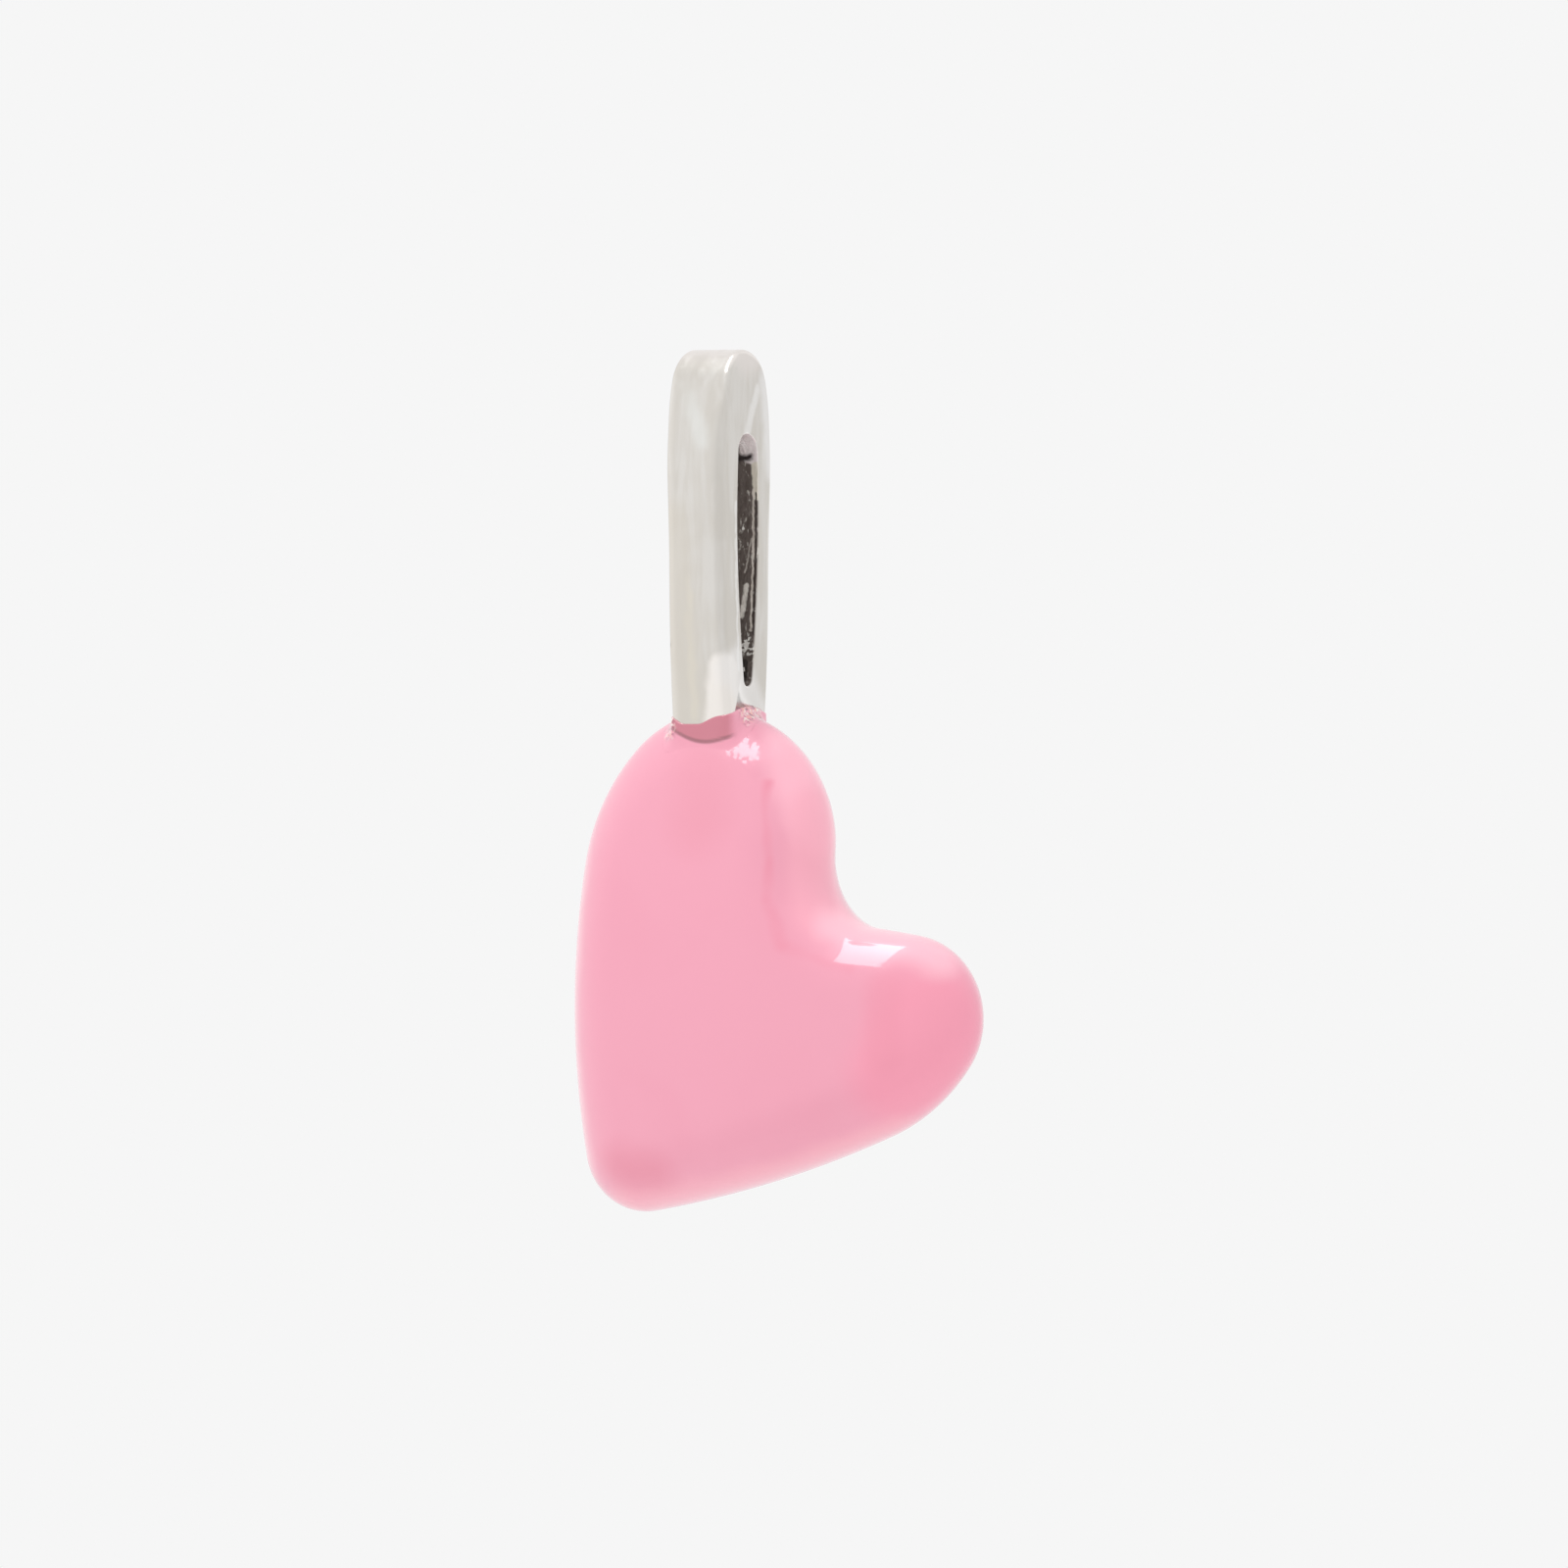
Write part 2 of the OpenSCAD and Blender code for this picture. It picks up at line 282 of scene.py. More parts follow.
class NodeBoard:
    """A short hand for the node trees of the finishes and of the world."""

    def __init__(self, tree: bpy.types.NodeTree) -> None:
        """Empties the tree.

        Args:
            tree: Node tree of a material or of the world.
        """
        self.tree = tree
        tree.nodes.clear()

    def node(self, kind: str, **settings: object) -> bpy.types.Node:
        """Adds a node.

        Args:
            kind: Type of the node.
            **settings: Its settings by name.

        Returns:
            The node.
        """
        made = self.tree.nodes.new(kind)
        for name, value in settings.items():
            setattr(made, name, value)
        return made

    def put(self, value: object, socket: Socket) -> None:
        """Links an output to a socket, or sets the socket to a plain value.

        Args:
            value: Output or plain value.
            socket: Input that takes it.
        """
        if isinstance(value, Socket):
            self.tree.links.new(value, socket)
        else:
            socket.default_value = value

    def filled(self, kind: str, *values: object, **settings: object) -> bpy.types.Node:
        """Adds a node and fills its first inputs.

        Args:
            kind: Type of the node.
            *values: Outputs or plain values, in the order of the inputs.
            **settings: Its settings by name.

        Returns:
            The node.
        """
        made = self.node(kind, **settings)
        for value, socket in zip(values, made.inputs):
            self.put(value, socket)
        return made

    def show(self, shader: Socket, kind: str = "ShaderNodeOutputMaterial") -> None:
        """Ends the tree with a shader on the surface of an output node."""
        self.put(shader, self.node(kind).inputs["Surface"])

    def math(self, operation: str, *values: object) -> Socket:
        """Output of a math node on up to three numbers or outputs."""
        return self.filled("ShaderNodeMath", *values, operation=operation).outputs[0]

    def vector(self, operation: str, *values: object) -> bpy.types.Node:
        """Vector math node with its inputs filled."""
        return self.filled("ShaderNodeVectorMath", *values, operation=operation)

    def either(self, share: object, first: Socket, second: Socket) -> Socket:
        """Output of a shader mix, with the share of its second shader."""
        return self.filled("ShaderNodeMixShader", share, first, second).outputs[0]

    def millimetres(self, stretch: Point3 = (1, 1, 1)) -> Socket:
        """The surface's own coordinates in millimetres.

        Args:
            stretch: Factor by which features grow along each axis.

        Returns:
            The coordinates.
        """
        place = self.node("ShaderNodeTexCoord")
        scaled = self.node("ShaderNodeMapping")
        self.put(place.outputs["Object"], scaled.inputs["Vector"])
        self.put(tuple(1 / (MM * s) for s in stretch), scaled.inputs["Scale"])
        return scaled.outputs["Vector"]

    def cloud(self, place: Socket, grain: Grain) -> bpy.types.Node:
        """Adds a noise texture.

        Args:
            place: Coordinates in millimetres.
            grain: Features of the noise.

        Returns:
            The node, whose outputs are the noise, from 0 to 1, and a colour of three noises.
        """
        made = self.node("ShaderNodeTexNoise")
        for name, value in (
            ("Vector", place),
            ("Scale", grain.scale),
            ("Detail", grain.detail),
            ("Roughness", grain.roughness),
            ("Distortion", grain.twist),
        ):
            self.put(value, made.inputs[name])
        return made

    def noise(self, place: Socket, grain: Grain) -> Socket:
        """Noise from 0 to 1 at a place."""
        return self.cloud(place, grain).outputs[0]

    def warped(self, place: Socket, scale: float, reach: float) -> Socket:
        """Coordinates moved about by a noise, so that marks get uneven outlines.

        Args:
            place: Coordinates in millimetres.
            scale: Features of the noise for each millimetre.
            reach: Most that a place moves along each axis.

        Returns:
            The moved coordinates.
        """
        drift = self.cloud(place, Grain(scale)).outputs["Color"]
        centred = self.vector("SUBTRACT", drift, (0.5, 0.5, 0.5)).outputs[0]
        moved = self.vector("SCALE", centred)
        self.put(2.0 * reach, moved.inputs["Scale"])
        return self.vector("ADD", place, moved.outputs[0]).outputs[0]

    def range(self, value: Socket, low: float, high: float, to_low: float, to_high: float) -> Socket:
        """Maps a value from one range to another, clamped and eased."""
        spread = (value, low, high, to_low, to_high)
        return self.filled("ShaderNodeMapRange", *spread, interpolation_type="SMOOTHSTEP").outputs[0]

    def band(self, value: Socket, low: float, high: float, soft: float) -> Socket:
        """Share of a value in a band.

        Args:
            value: Value to look at.
            low: Lower end of the band.
            high: Upper end of the band.
            soft: Width outside each end over which the share fades.

        Returns:
            1 in the band, fading to 0 outside it.
        """
        rising = self.range(value, low - soft, low, 0.0, 1.0)
        falling = self.range(value, high, high + soft, 1.0, 0.0)
        return self.math("MULTIPLY", rising, falling)

    def blend(self, share: object, a: object, b: object, kind: str = "MIX") -> Socket:
        """Output of a colour mix node.

        Args:
            share: Share of the second colour.
            a: First colour or output.
            b: Second colour or output.
            kind: Way of mixing.

        Returns:
            The mixed colour.
        """
        made = self.node("ShaderNodeMix", data_type="RGBA", blend_type=kind)
        self.put(share, made.inputs[0])
        self.put(self.colour(a), made.inputs[6])
        self.put(self.colour(b), made.inputs[7])
        return made.outputs[2]

    def stroke(self, place: Socket, mark: Mark) -> Socket:
        """Share of a mark at a place.

        Args:
            place: Coordinates in millimetres.
            mark: Mark to lay down.

        Returns:
            The mark's strength within its reach, fading to 0 round it.
        """
        start, along = Vector(mark.start), Vector(mark.end) - Vector(mark.start)
        away = self.vector("SUBTRACT", place, tuple(start)).outputs[0]
        share = self.vector("DOT_PRODUCT", away, tuple(along / along.length_squared)).outputs["Value"]
        near = self.vector("SCALE", tuple(along))
        self.put(self.filled("ShaderNodeMapRange", share).outputs[0], near.inputs["Scale"])
        gap = self.vector("DISTANCE", away, near.outputs[0]).outputs["Value"]
        return self.range(gap, mark.reach, mark.reach + mark.soft, mark.strength, 0.0)

    def marked(self, place: Socket, colour: object, marks: tuple[Mark, ...]) -> object:
        """A colour with marks of other colours laid over it.

        Args:
            place: Coordinates in millimetres.
            colour: Colour or output under the marks.
            marks: Marks, in the order in which they are laid.

        Returns:
            The marked colour.
        """
        for mark in marks:
            colour = self.blend(self.stroke(place, mark), colour, mark.colour)
        return colour

    def mask(self, mask: Mask) -> Socket:
        """Output of a value that the mesh carries."""
        return self.node("ShaderNodeAttribute", attribute_name=mask.value).outputs["Fac"]

    def ramp(self, value: Socket, stops: tuple[Point2, ...]) -> Socket:
        """Grey value along a ramp.

        Args:
            value: Place along the ramp, from 0 to 1.
            stops: Place and grey value of each stop, in order.

        Returns:
            The ramp's colour.
        """
        made = self.filled("ShaderNodeValToRGB", value)
        made.color_ramp.interpolation = "EASE"
        steps = made.color_ramp.elements
        while len(steps) < len(stops):
            steps.new(0.5)
        for step, (place, grey) in zip(steps, stops):
            step.position = place
            step.color = (grey, grey, grey, 1)
        return made.outputs[0]

    def bump(self, height: Socket, depth: float, under: object = None) -> Socket:
        """Normal of a fine relief.

        Args:
            height: Relief, from 0 to 1.
            depth: Depth of the relief in millimetres.
            under: Normal of a coarser relief below it.

        Returns:
            The bumped normal.
        """
        made = self.node("ShaderNodeBump")
        self.put(depth * MM, made.inputs["Distance"])
        self.put(height, made.inputs["Height"])
        if under is not None:
            self.put(under, made.inputs["Normal"])
        return made.outputs[0]

    @staticmethod
    def colour(value: object) -> object:
        """Adds the missing alpha to a plain colour of three numbers."""
        return (*value, 1.0) if isinstance(value, tuple) and len(value) == 3 else value


def blank(name: str) -> tuple[bpy.types.Material, NodeBoard]:
    """Makes a material with no nodes yet.

    Args:
        name: Name of the material.

    Returns:
        The material and the board for its nodes.
    """
    made = bpy.data.materials.new(name)
    made.use_nodes = True
    return made, NodeBoard(made.node_tree)


@dataclass(frozen=True)
class PolishedSilver:
    """Bare cast silver, polished by hand outside, with painted reflections on it and painted shade
    and highlights inside the eye.
    """

    name: str = "polished_silver"
    base: Colour = (0.75, 0.725, 0.69)
    shade: Colour = (0.67, 0.635, 0.585)
    # Painted shade: the dark colour of the eye's inner surfaces, which face each other across the
    # narrow gap.
    painted_eye_shade: Colour = (0.155, 0.125, 0.11)
    scratch: Colour = (0.80, 0.76, 0.70)
    satin: Fade = (0.3, 0.7, 0.12, 0.22)
    eye_rougher: float = 0.23
    eye_metallic: float = 0.5
    streaks: Grain = Grain(2.6, 3.0, 0.55, 0.4)
    streak_stretch: Point3 = (1, 1, 9)
    streak_share: float = 0.6
    clouds: Grain = Grain(0.42, 2.0, 0.5, 0.6)
    cloud_share: float = 0.4
    shaded: Fade = (0.4, 0.62, 0.8, 0.0)
    pits: Grain = Grain(6.5, 4.0, 0.7, 0.6)
    pit_stretch: Point3 = (1, 1, 2)
    pit_mm: float = 0.05
    scratched: Fade = (0.55, 0.68, 0.0, 0.9)
    hammering: Grain = Grain(0.7, 1.0, 0.4)
    hammering_mm: float = 0.022
    hairlines: Grain = Grain(16.0)
    hairline_stretch: Point3 = (1, 1, 14)
    hairline_mm: float = 0.0012
    # Painted reflections and highlights on the polished outside: a paler band over the crown, bright
    # patches and strips on its right side and down the inner edge, a bright patch low on the front
    # leg, and darker painted reflection streaks down the front.
    reflections_drift: Span = (1.6, 0.16)
    painted_metal_reflections: tuple[Mark, ...] = (
        Mark((-0.8, 0.0, 2.5), (0.8, 0.0, 2.5), 0.45, 0.7, 0.8, (0.84, 0.79, 0.76)),
        Mark((1.0, 1.1, 1.6), (1.0, 1.4, -0.9), 0.2, 0.5, 0.7, (0.93, 0.92, 0.92)),
        Mark((1.0, 0.5, 1.3), (1.0, -0.42, -0.7), 0.05, 0.2, 0.6, (0.93, 0.92, 0.91)),
        Mark((-0.4, -1.4, 1.4), (0.25, -1.4, -0.2), 0.05, 0.45, 0.4, (0.86, 0.88, 0.86)),
        Mark((0.7, -1.4, 0.6), (0.7, -1.4, -1.2), 0.05, 0.3, 0.6, (0.66, 0.63, 0.585)),
        Mark((-0.65, -1.4, -2.5), (-0.45, -1.15, -8.2), 0.2, 0.7, 0.6, (0.70, 0.655, 0.585)),
        Mark((-0.2, -1.3, -4.2), (-0.2, -1.15, -8.2), 0.03, 0.2, 0.5, (0.77, 0.72, 0.62)),
        Mark((0.9, -1.15, -6.9), (0.62, -1.1, -8.6), 0.38, 0.3, 0.9, (0.945, 0.90, 0.855)),
        Mark((1.0, -0.7, -6.8), (1.0, 0.6, -8.3), 0.4, 0.5, 0.6, (0.93, 0.91, 0.90)),
        Mark((1.0, -0.75, -2.0), (1.0, -0.6, -6.8), 0.03, 0.08, 0.6, (0.93, 0.92, 0.91)),
    )
    # Painted highlights and painted shade inside the eye: a pale top, a dark line under it, pale and
    # dark lines down the eye's edges, and bright dots and a dark spot lower down.
    eye_light_drift: Span = (5.0, 0.06)
    flaws_and_painted_eye_light: tuple[Mark, ...] = (
        Mark((0.9, 0, 0.1), (0.9, 0, -0.36), 0.5, 0.1, 1.0, (1.0, 0.92, 0.91)),
        Mark((0.2, 0, -0.72), (0.72, 0, -0.66), 0.02, 0.13, 1.0, (0.03, 0.02, 0.018)),
        Mark((0.88, 0, -0.95), (0.94, 0, -1.8), 0.1, 0.08, 0.9, (0.92, 0.86, 0.74)),
        Mark((0.90, 0, -1.7), (0.90, 0, -5.8), 0.012, 0.03, 0.9, (0.05, 0.035, 0.03)),
        Mark((0.80, 0, -1.6), (0.82, 0, -5.7), 0.015, 0.035, 0.85, (0.92, 0.84, 0.76)),
        Mark((0.76, 0, -3.0), (0.55, 0, -4.0), 0.01, 0.03, 0.7, (0.72, 0.66, 0.6)),
        Mark((0.62, 0, -4.4), (0.50, 0, -5.25), 0.05, 0.06, 0.95, (0.95, 0.90, 0.83)),
        Mark((0.46, 0, -2.72), (0.46, 0, -2.74), 0.03, 0.02, 1.0, (1.0, 0.97, 0.92)),
        Mark((0.66, 0, -6.65), (0.66, 0, -7.1), 0.09, 0.06, 0.9, (0.04, 0.03, 0.025)),
        Mark((0.68, 0, -6.8), (0.68, 0, -6.85), 0.015, 0.03, 1.0, (1.0, 0.97, 0.92)),
    )
    glints_at: Mark = Mark((0.62, 0, -5.95), (0.78, 0, -6.25), 0.14, 0.1, 1.0, (1.0, 0.97, 0.92))
    glints: Grain = Grain(9.0, 1.0)
    glinting: Fade = (0.52, 0.56, 0.0, 1.0)

    def material(self) -> bpy.types.Material:
        """Builds the finish: streaks and painted reflections outside, fine scratches, and painted
        shade and glints in the eye.

        Returns:
            The material.
        """
        made, board = blank(self.name)
        metal = board.node("ShaderNodeBsdfPrincipled")
        board.show(metal.outputs[0])
        place = board.millimetres()

        streaks = board.noise(board.millimetres(self.streak_stretch), self.streaks)
        clouds = board.math("MULTIPLY", board.noise(place, self.clouds), self.cloud_share)
        tone = board.math("ADD", board.math("MULTIPLY", streaks, self.streak_share), clouds)
        bare = board.blend(board.range(tone, *self.shaded), self.base, self.shade)
        # Lays the painted reflections and highlights over the metal's streaky tone.
        bare = board.marked(board.warped(place, *self.reflections_drift), bare, self.painted_metal_reflections)

        # The eye's colour: painted shade with paler random streaks, then painted highlight and shade
        # lines, then painted glints.
        pits = board.noise(board.millimetres(self.pit_stretch), self.pits)
        old_mesh_and_eye_shade = board.blend(board.range(pits, *self.scratched), self.painted_eye_shade, self.scratch)
        drift = board.warped(place, *self.eye_light_drift)
        across = board.vector("MULTIPLY", drift, (1.0, 0.0, 1.0)).outputs[0]
        old_mesh_and_eye_shade = board.marked(across, old_mesh_and_eye_shade, self.flaws_and_painted_eye_light)
        spots = board.range(board.noise(place, self.glints), *self.glinting)
        lit = board.math("MULTIPLY", spots, board.stroke(across, self.glints_at))
        old_mesh_and_eye_shade = board.blend(lit, old_mesh_and_eye_shade, self.glints_at.colour)
        eye = board.mask(Mask.EYE)
        board.put(board.blend(eye, bare, old_mesh_and_eye_shade), metal.inputs["Base Color"])
        board.put(board.range(eye, 0.0, 1.0, 1.0, self.eye_metallic), metal.inputs["Metallic"])

        eye_roughening = board.math("MULTIPLY", eye, self.eye_rougher)
        satin = board.range(streaks, *self.satin)
        board.put(board.math("ADD", satin, eye_roughening), metal.inputs["Roughness"])

        relief = board.bump(board.noise(place, self.hammering), self.hammering_mm)
        hairlines = board.noise(board.millimetres(self.hairline_stretch), self.hairlines)
        relief = board.bump(hairlines, self.hairline_mm, relief)
        relief = board.bump(board.math("MULTIPLY", pits, eye), self.pit_mm, relief)
        board.put(relief, metal.inputs["Normal"])
        return made


@dataclass(frozen=True)
class PinkEnamel:
    """Glossy opaque pink enamel, darker rose on the wall where it climbs the foot, with painted light
    and shade on it.
    """

    name: str = "pink_enamel"
    base: Colour = (0.875, 0.345, 0.46)
    deep: Colour = (0.835, 0.29, 0.40)
    wall_rose: Colour = (0.60, 0.185, 0.245)
    # Painted shade: the dark line along the collar's crease, also laid at the bottoms of the pits.
    crease: Colour = (0.30, 0.10, 0.125)
    speck: Colour = (0.70, 0.24, 0.31)
    # Painted glints on the pit edges, from salmon to cream, where the fillets catch the light.
    pit_glint: Colour = (0.95, 0.45, 0.40)
    bare: Colour = (0.98, 0.90, 0.82)
    roughness: float = 0.3
    specular_level: float = 0.5
    coat_roughness: float = 0.04
    coat_ior: float = 1.5
    clouds: Grain = Grain(0.22, 2.0, 0.5, 0.5)
    clouded: Fade = (0.42, 0.72, 0.0, 0.25)
    specks_per_mm: float = 0.75
    specked: Fade = (0.018, 0.034, 0.8, 0.0)
    speck_groups: Grain = Grain(0.35, 0.0)
    grouped: Fade = (0.5, 0.56, 0.0, 1.0)
    pits: Grain = Grain(9.0, 2.0, 0.6)
    pit_mm: float = 0.06
    glinting_pit_rims: Fade = (0.48, 0.6, 0.0, 1.0)
    shaded_pit_floors: Fade = (0.38, 0.46, 0.8, 0.0)
    tints: Grain = Grain(5.0, 1.0)
    tinted: Fade = (0.4, 0.6, 0.0, 1.0)
    ripple: Grain = Grain(2.2)
    ripple_mm: float = 0.001
    # Painted light and shade on the enamel: deeper pink over the lower lobe, painted shade under the
    # foot, painted light down the upper lobe's flank, a painted pale reflection over the notch,
    # painted lighter rims on the left and along the bottom, a deeper spot low on the left, and a
    # painted dark reflection line down the flank and along the notch.
    painted_light_drift: Span = (0.45, 0.3)
    painted_light_and_shade: tuple[Mark, ...] = (
        Mark((8.2, -1.6, -17.2), (7.4, -1.6, -18.6), 1.2, 1.5, 0.8, (0.93, 0.305, 0.425)),
        Mark((6.5, -1.9, -16.0), (6.5, -1.9, -18.0), 0.2, 0.7, 0.55, (0.87, 0.285, 0.395)),
        Mark((0.3, -2.2, -9.2), (0.3, -2.2, -11.0), 0.4, 1.4, 0.6, (0.84, 0.30, 0.40)),
        Mark((2.9, -0.4, -9.2), (3.6, -0.3, -11.2), 0.7, 0.8, 0.9, (1.0, 0.48, 0.59)),
        Mark((3.6, -0.3, -11.2), (3.8, -0.7, -13.8), 0.7, 0.8, 0.8, (0.97, 0.41, 0.52)),
        Mark((4.4, -0.8, -14.3), (7.5, -0.7, -15.1), 0.25, 0.8, 0.8, (0.99, 0.52, 0.62)),
        Mark((-4.2, -0.8, -11.8), (-3.9, -1.0, -20.9), 0.25, 0.8, 0.9, (0.96, 0.47, 0.57)),
        Mark((-2.3, -0.9, -22.2), (6.2, -0.3, -20.2), 0.35, 0.7, 0.7, (0.95, 0.40, 0.49)),
        Mark((-2.3, -1.6, -21.2), (-1.3, -1.75, -21.4), 0.0, 1.2, 0.8, (0.82, 0.27, 0.37)),
        Mark((2.35, -1.25, -10.1), (2.65, -1.8, -13.6), 0.0, 0.26, 0.9, (0.86, 0.275, 0.38)),
        Mark((2.65, -1.8, -13.6), (3.3, -2.0, -14.8), 0.0, 0.3, 0.5, (0.86, 0.275, 0.38)),
        Mark((3.5, -2.0, -14.85), (5.3, -1.73, -15.35), 0.0, 0.35, 0.35, (0.86, 0.275, 0.38)),
    )
    runs_at: Mark = Mark((1.8, -1.05, -9.25), (1.85, -1.05, -9.3), 0.4, 0.4, 1.0)
    runs: Grain = Grain(3.2, 1.0)
    runs_mm: float = 0.02

    def material(self) -> bpy.types.Material:
        """Builds the finish: soft clouds of colour, painted light and shade, tiny specks, the darker
        collar wall, painted crease shade, painted glints on the pits and a faint ripple under gloss.

        Returns:
            The material.
        """
        made, board = blank(self.name)
        glaze = board.node("ShaderNodeBsdfPrincipled")
        board.show(glaze.outputs[0])
        place = board.millimetres()

        clouds = board.range(board.noise(place, self.clouds), *self.clouded)
        body = board.blend(clouds, self.base, self.deep)
        # Lays the painted light and shade over the clouded colour.
        body = board.marked(board.warped(place, *self.painted_light_drift), body, self.painted_light_and_shade)
        dots = board.node("ShaderNodeTexVoronoi", feature="F1")
        board.put(place, dots.inputs["Vector"])
        board.put(self.specks_per_mm, dots.inputs["Scale"])
        near = board.range(dots.outputs["Distance"], *self.specked)
        groups = board.range(board.noise(place, self.speck_groups), *self.grouped)
        body = board.blend(board.math("MULTIPLY", near, groups), body, self.speck)
        # Darker rose on the collar's front wall.
        body = board.blend(board.mask(Mask.THIN), body, self.wall_rose)
        # Painted shade along the collar's crease.
        body = board.blend(board.mask(Mask.CREASE), body, self.crease)
        pits, pits_and_glints = board.noise(place, self.pits), board.mask(Mask.PITS_AND_GLINTS)
        tints = board.range(board.noise(place, self.tints), *self.tinted)
        # Painted glints round the pit edges and painted shade at their bottoms, over the real pit
        # relief.
        glint_rims = board.math("MULTIPLY", pits_and_glints, board.range(pits, *self.glinting_pit_rims))
        body = board.blend(glint_rims, body, board.blend(tints, self.pit_glint, self.bare))
        shaded_floors = board.math("MULTIPLY", pits_and_glints, board.range(pits, *self.shaded_pit_floors))
        body = board.blend(shaded_floors, body, self.crease)
        board.put(body, glaze.inputs["Base Color"])

        for socket, value in (
            ("Roughness", self.roughness),
            ("Specular IOR Level", self.specular_level),
            ("Coat Weight", 1.0),
            ("Coat Roughness", self.coat_roughness),
            ("Coat IOR", self.coat_ior),
        ):
            glaze.inputs[socket].default_value = value

        relief = board.bump(board.noise(place, self.ripple), self.ripple_mm)
        there = board.stroke(place, self.runs_at)
        runs = board.math("MULTIPLY", board.noise(place, self.runs), there)
        relief = board.bump(runs, self.runs_mm, relief)
        relief = board.bump(board.math("MULTIPLY", pits, pits_and_glints), self.pit_mm, relief)
        board.put(relief, glaze.inputs["Normal"])
        board.put(relief, glaze.inputs["Coat Normal"])
        return made


@dataclass(frozen=True)
class PaleFloor:
    """Plain pale floor that blends into the background away from the pendant."""

    name: str = "pale_floor"
    base: Colour = (0.86, 0.86, 0.86)
    seen: float = 0.922
    near_share: float = 0.7
    near_mm: float = 25.0
    far_mm: float = 75.0

    def material(self) -> bpy.types.Material:
        """Builds the finish: it keeps the shadow near the pendant and is plain further out.

        Returns:
            The material.
        """
        made, board = blank(self.name)
        lit = board.filled("ShaderNodeBsdfDiffuse", board.colour(self.base)).outputs[0]
        plain = board.filled("ShaderNodeEmission", board.colour((self.seen,) * 3)).outputs[0]
        path = board.node("ShaderNodeLightPath").outputs
        seen = board.math("MAXIMUM", path["Is Camera Ray"], path["Is Transmission Ray"])
        reach = board.vector("LENGTH", board.millimetres()).outputs["Value"]
        share = board.range(reach, self.near_mm, self.far_mm, self.near_share, 1.0)
        mixed = board.either(board.math("MULTIPLY", seen, share), lit, plain)
        clear = board.node("ShaderNodeBsdfTransparent").outputs[0]
        board.show(board.either(path["Is Glossy Ray"], mixed, clear))
        return made


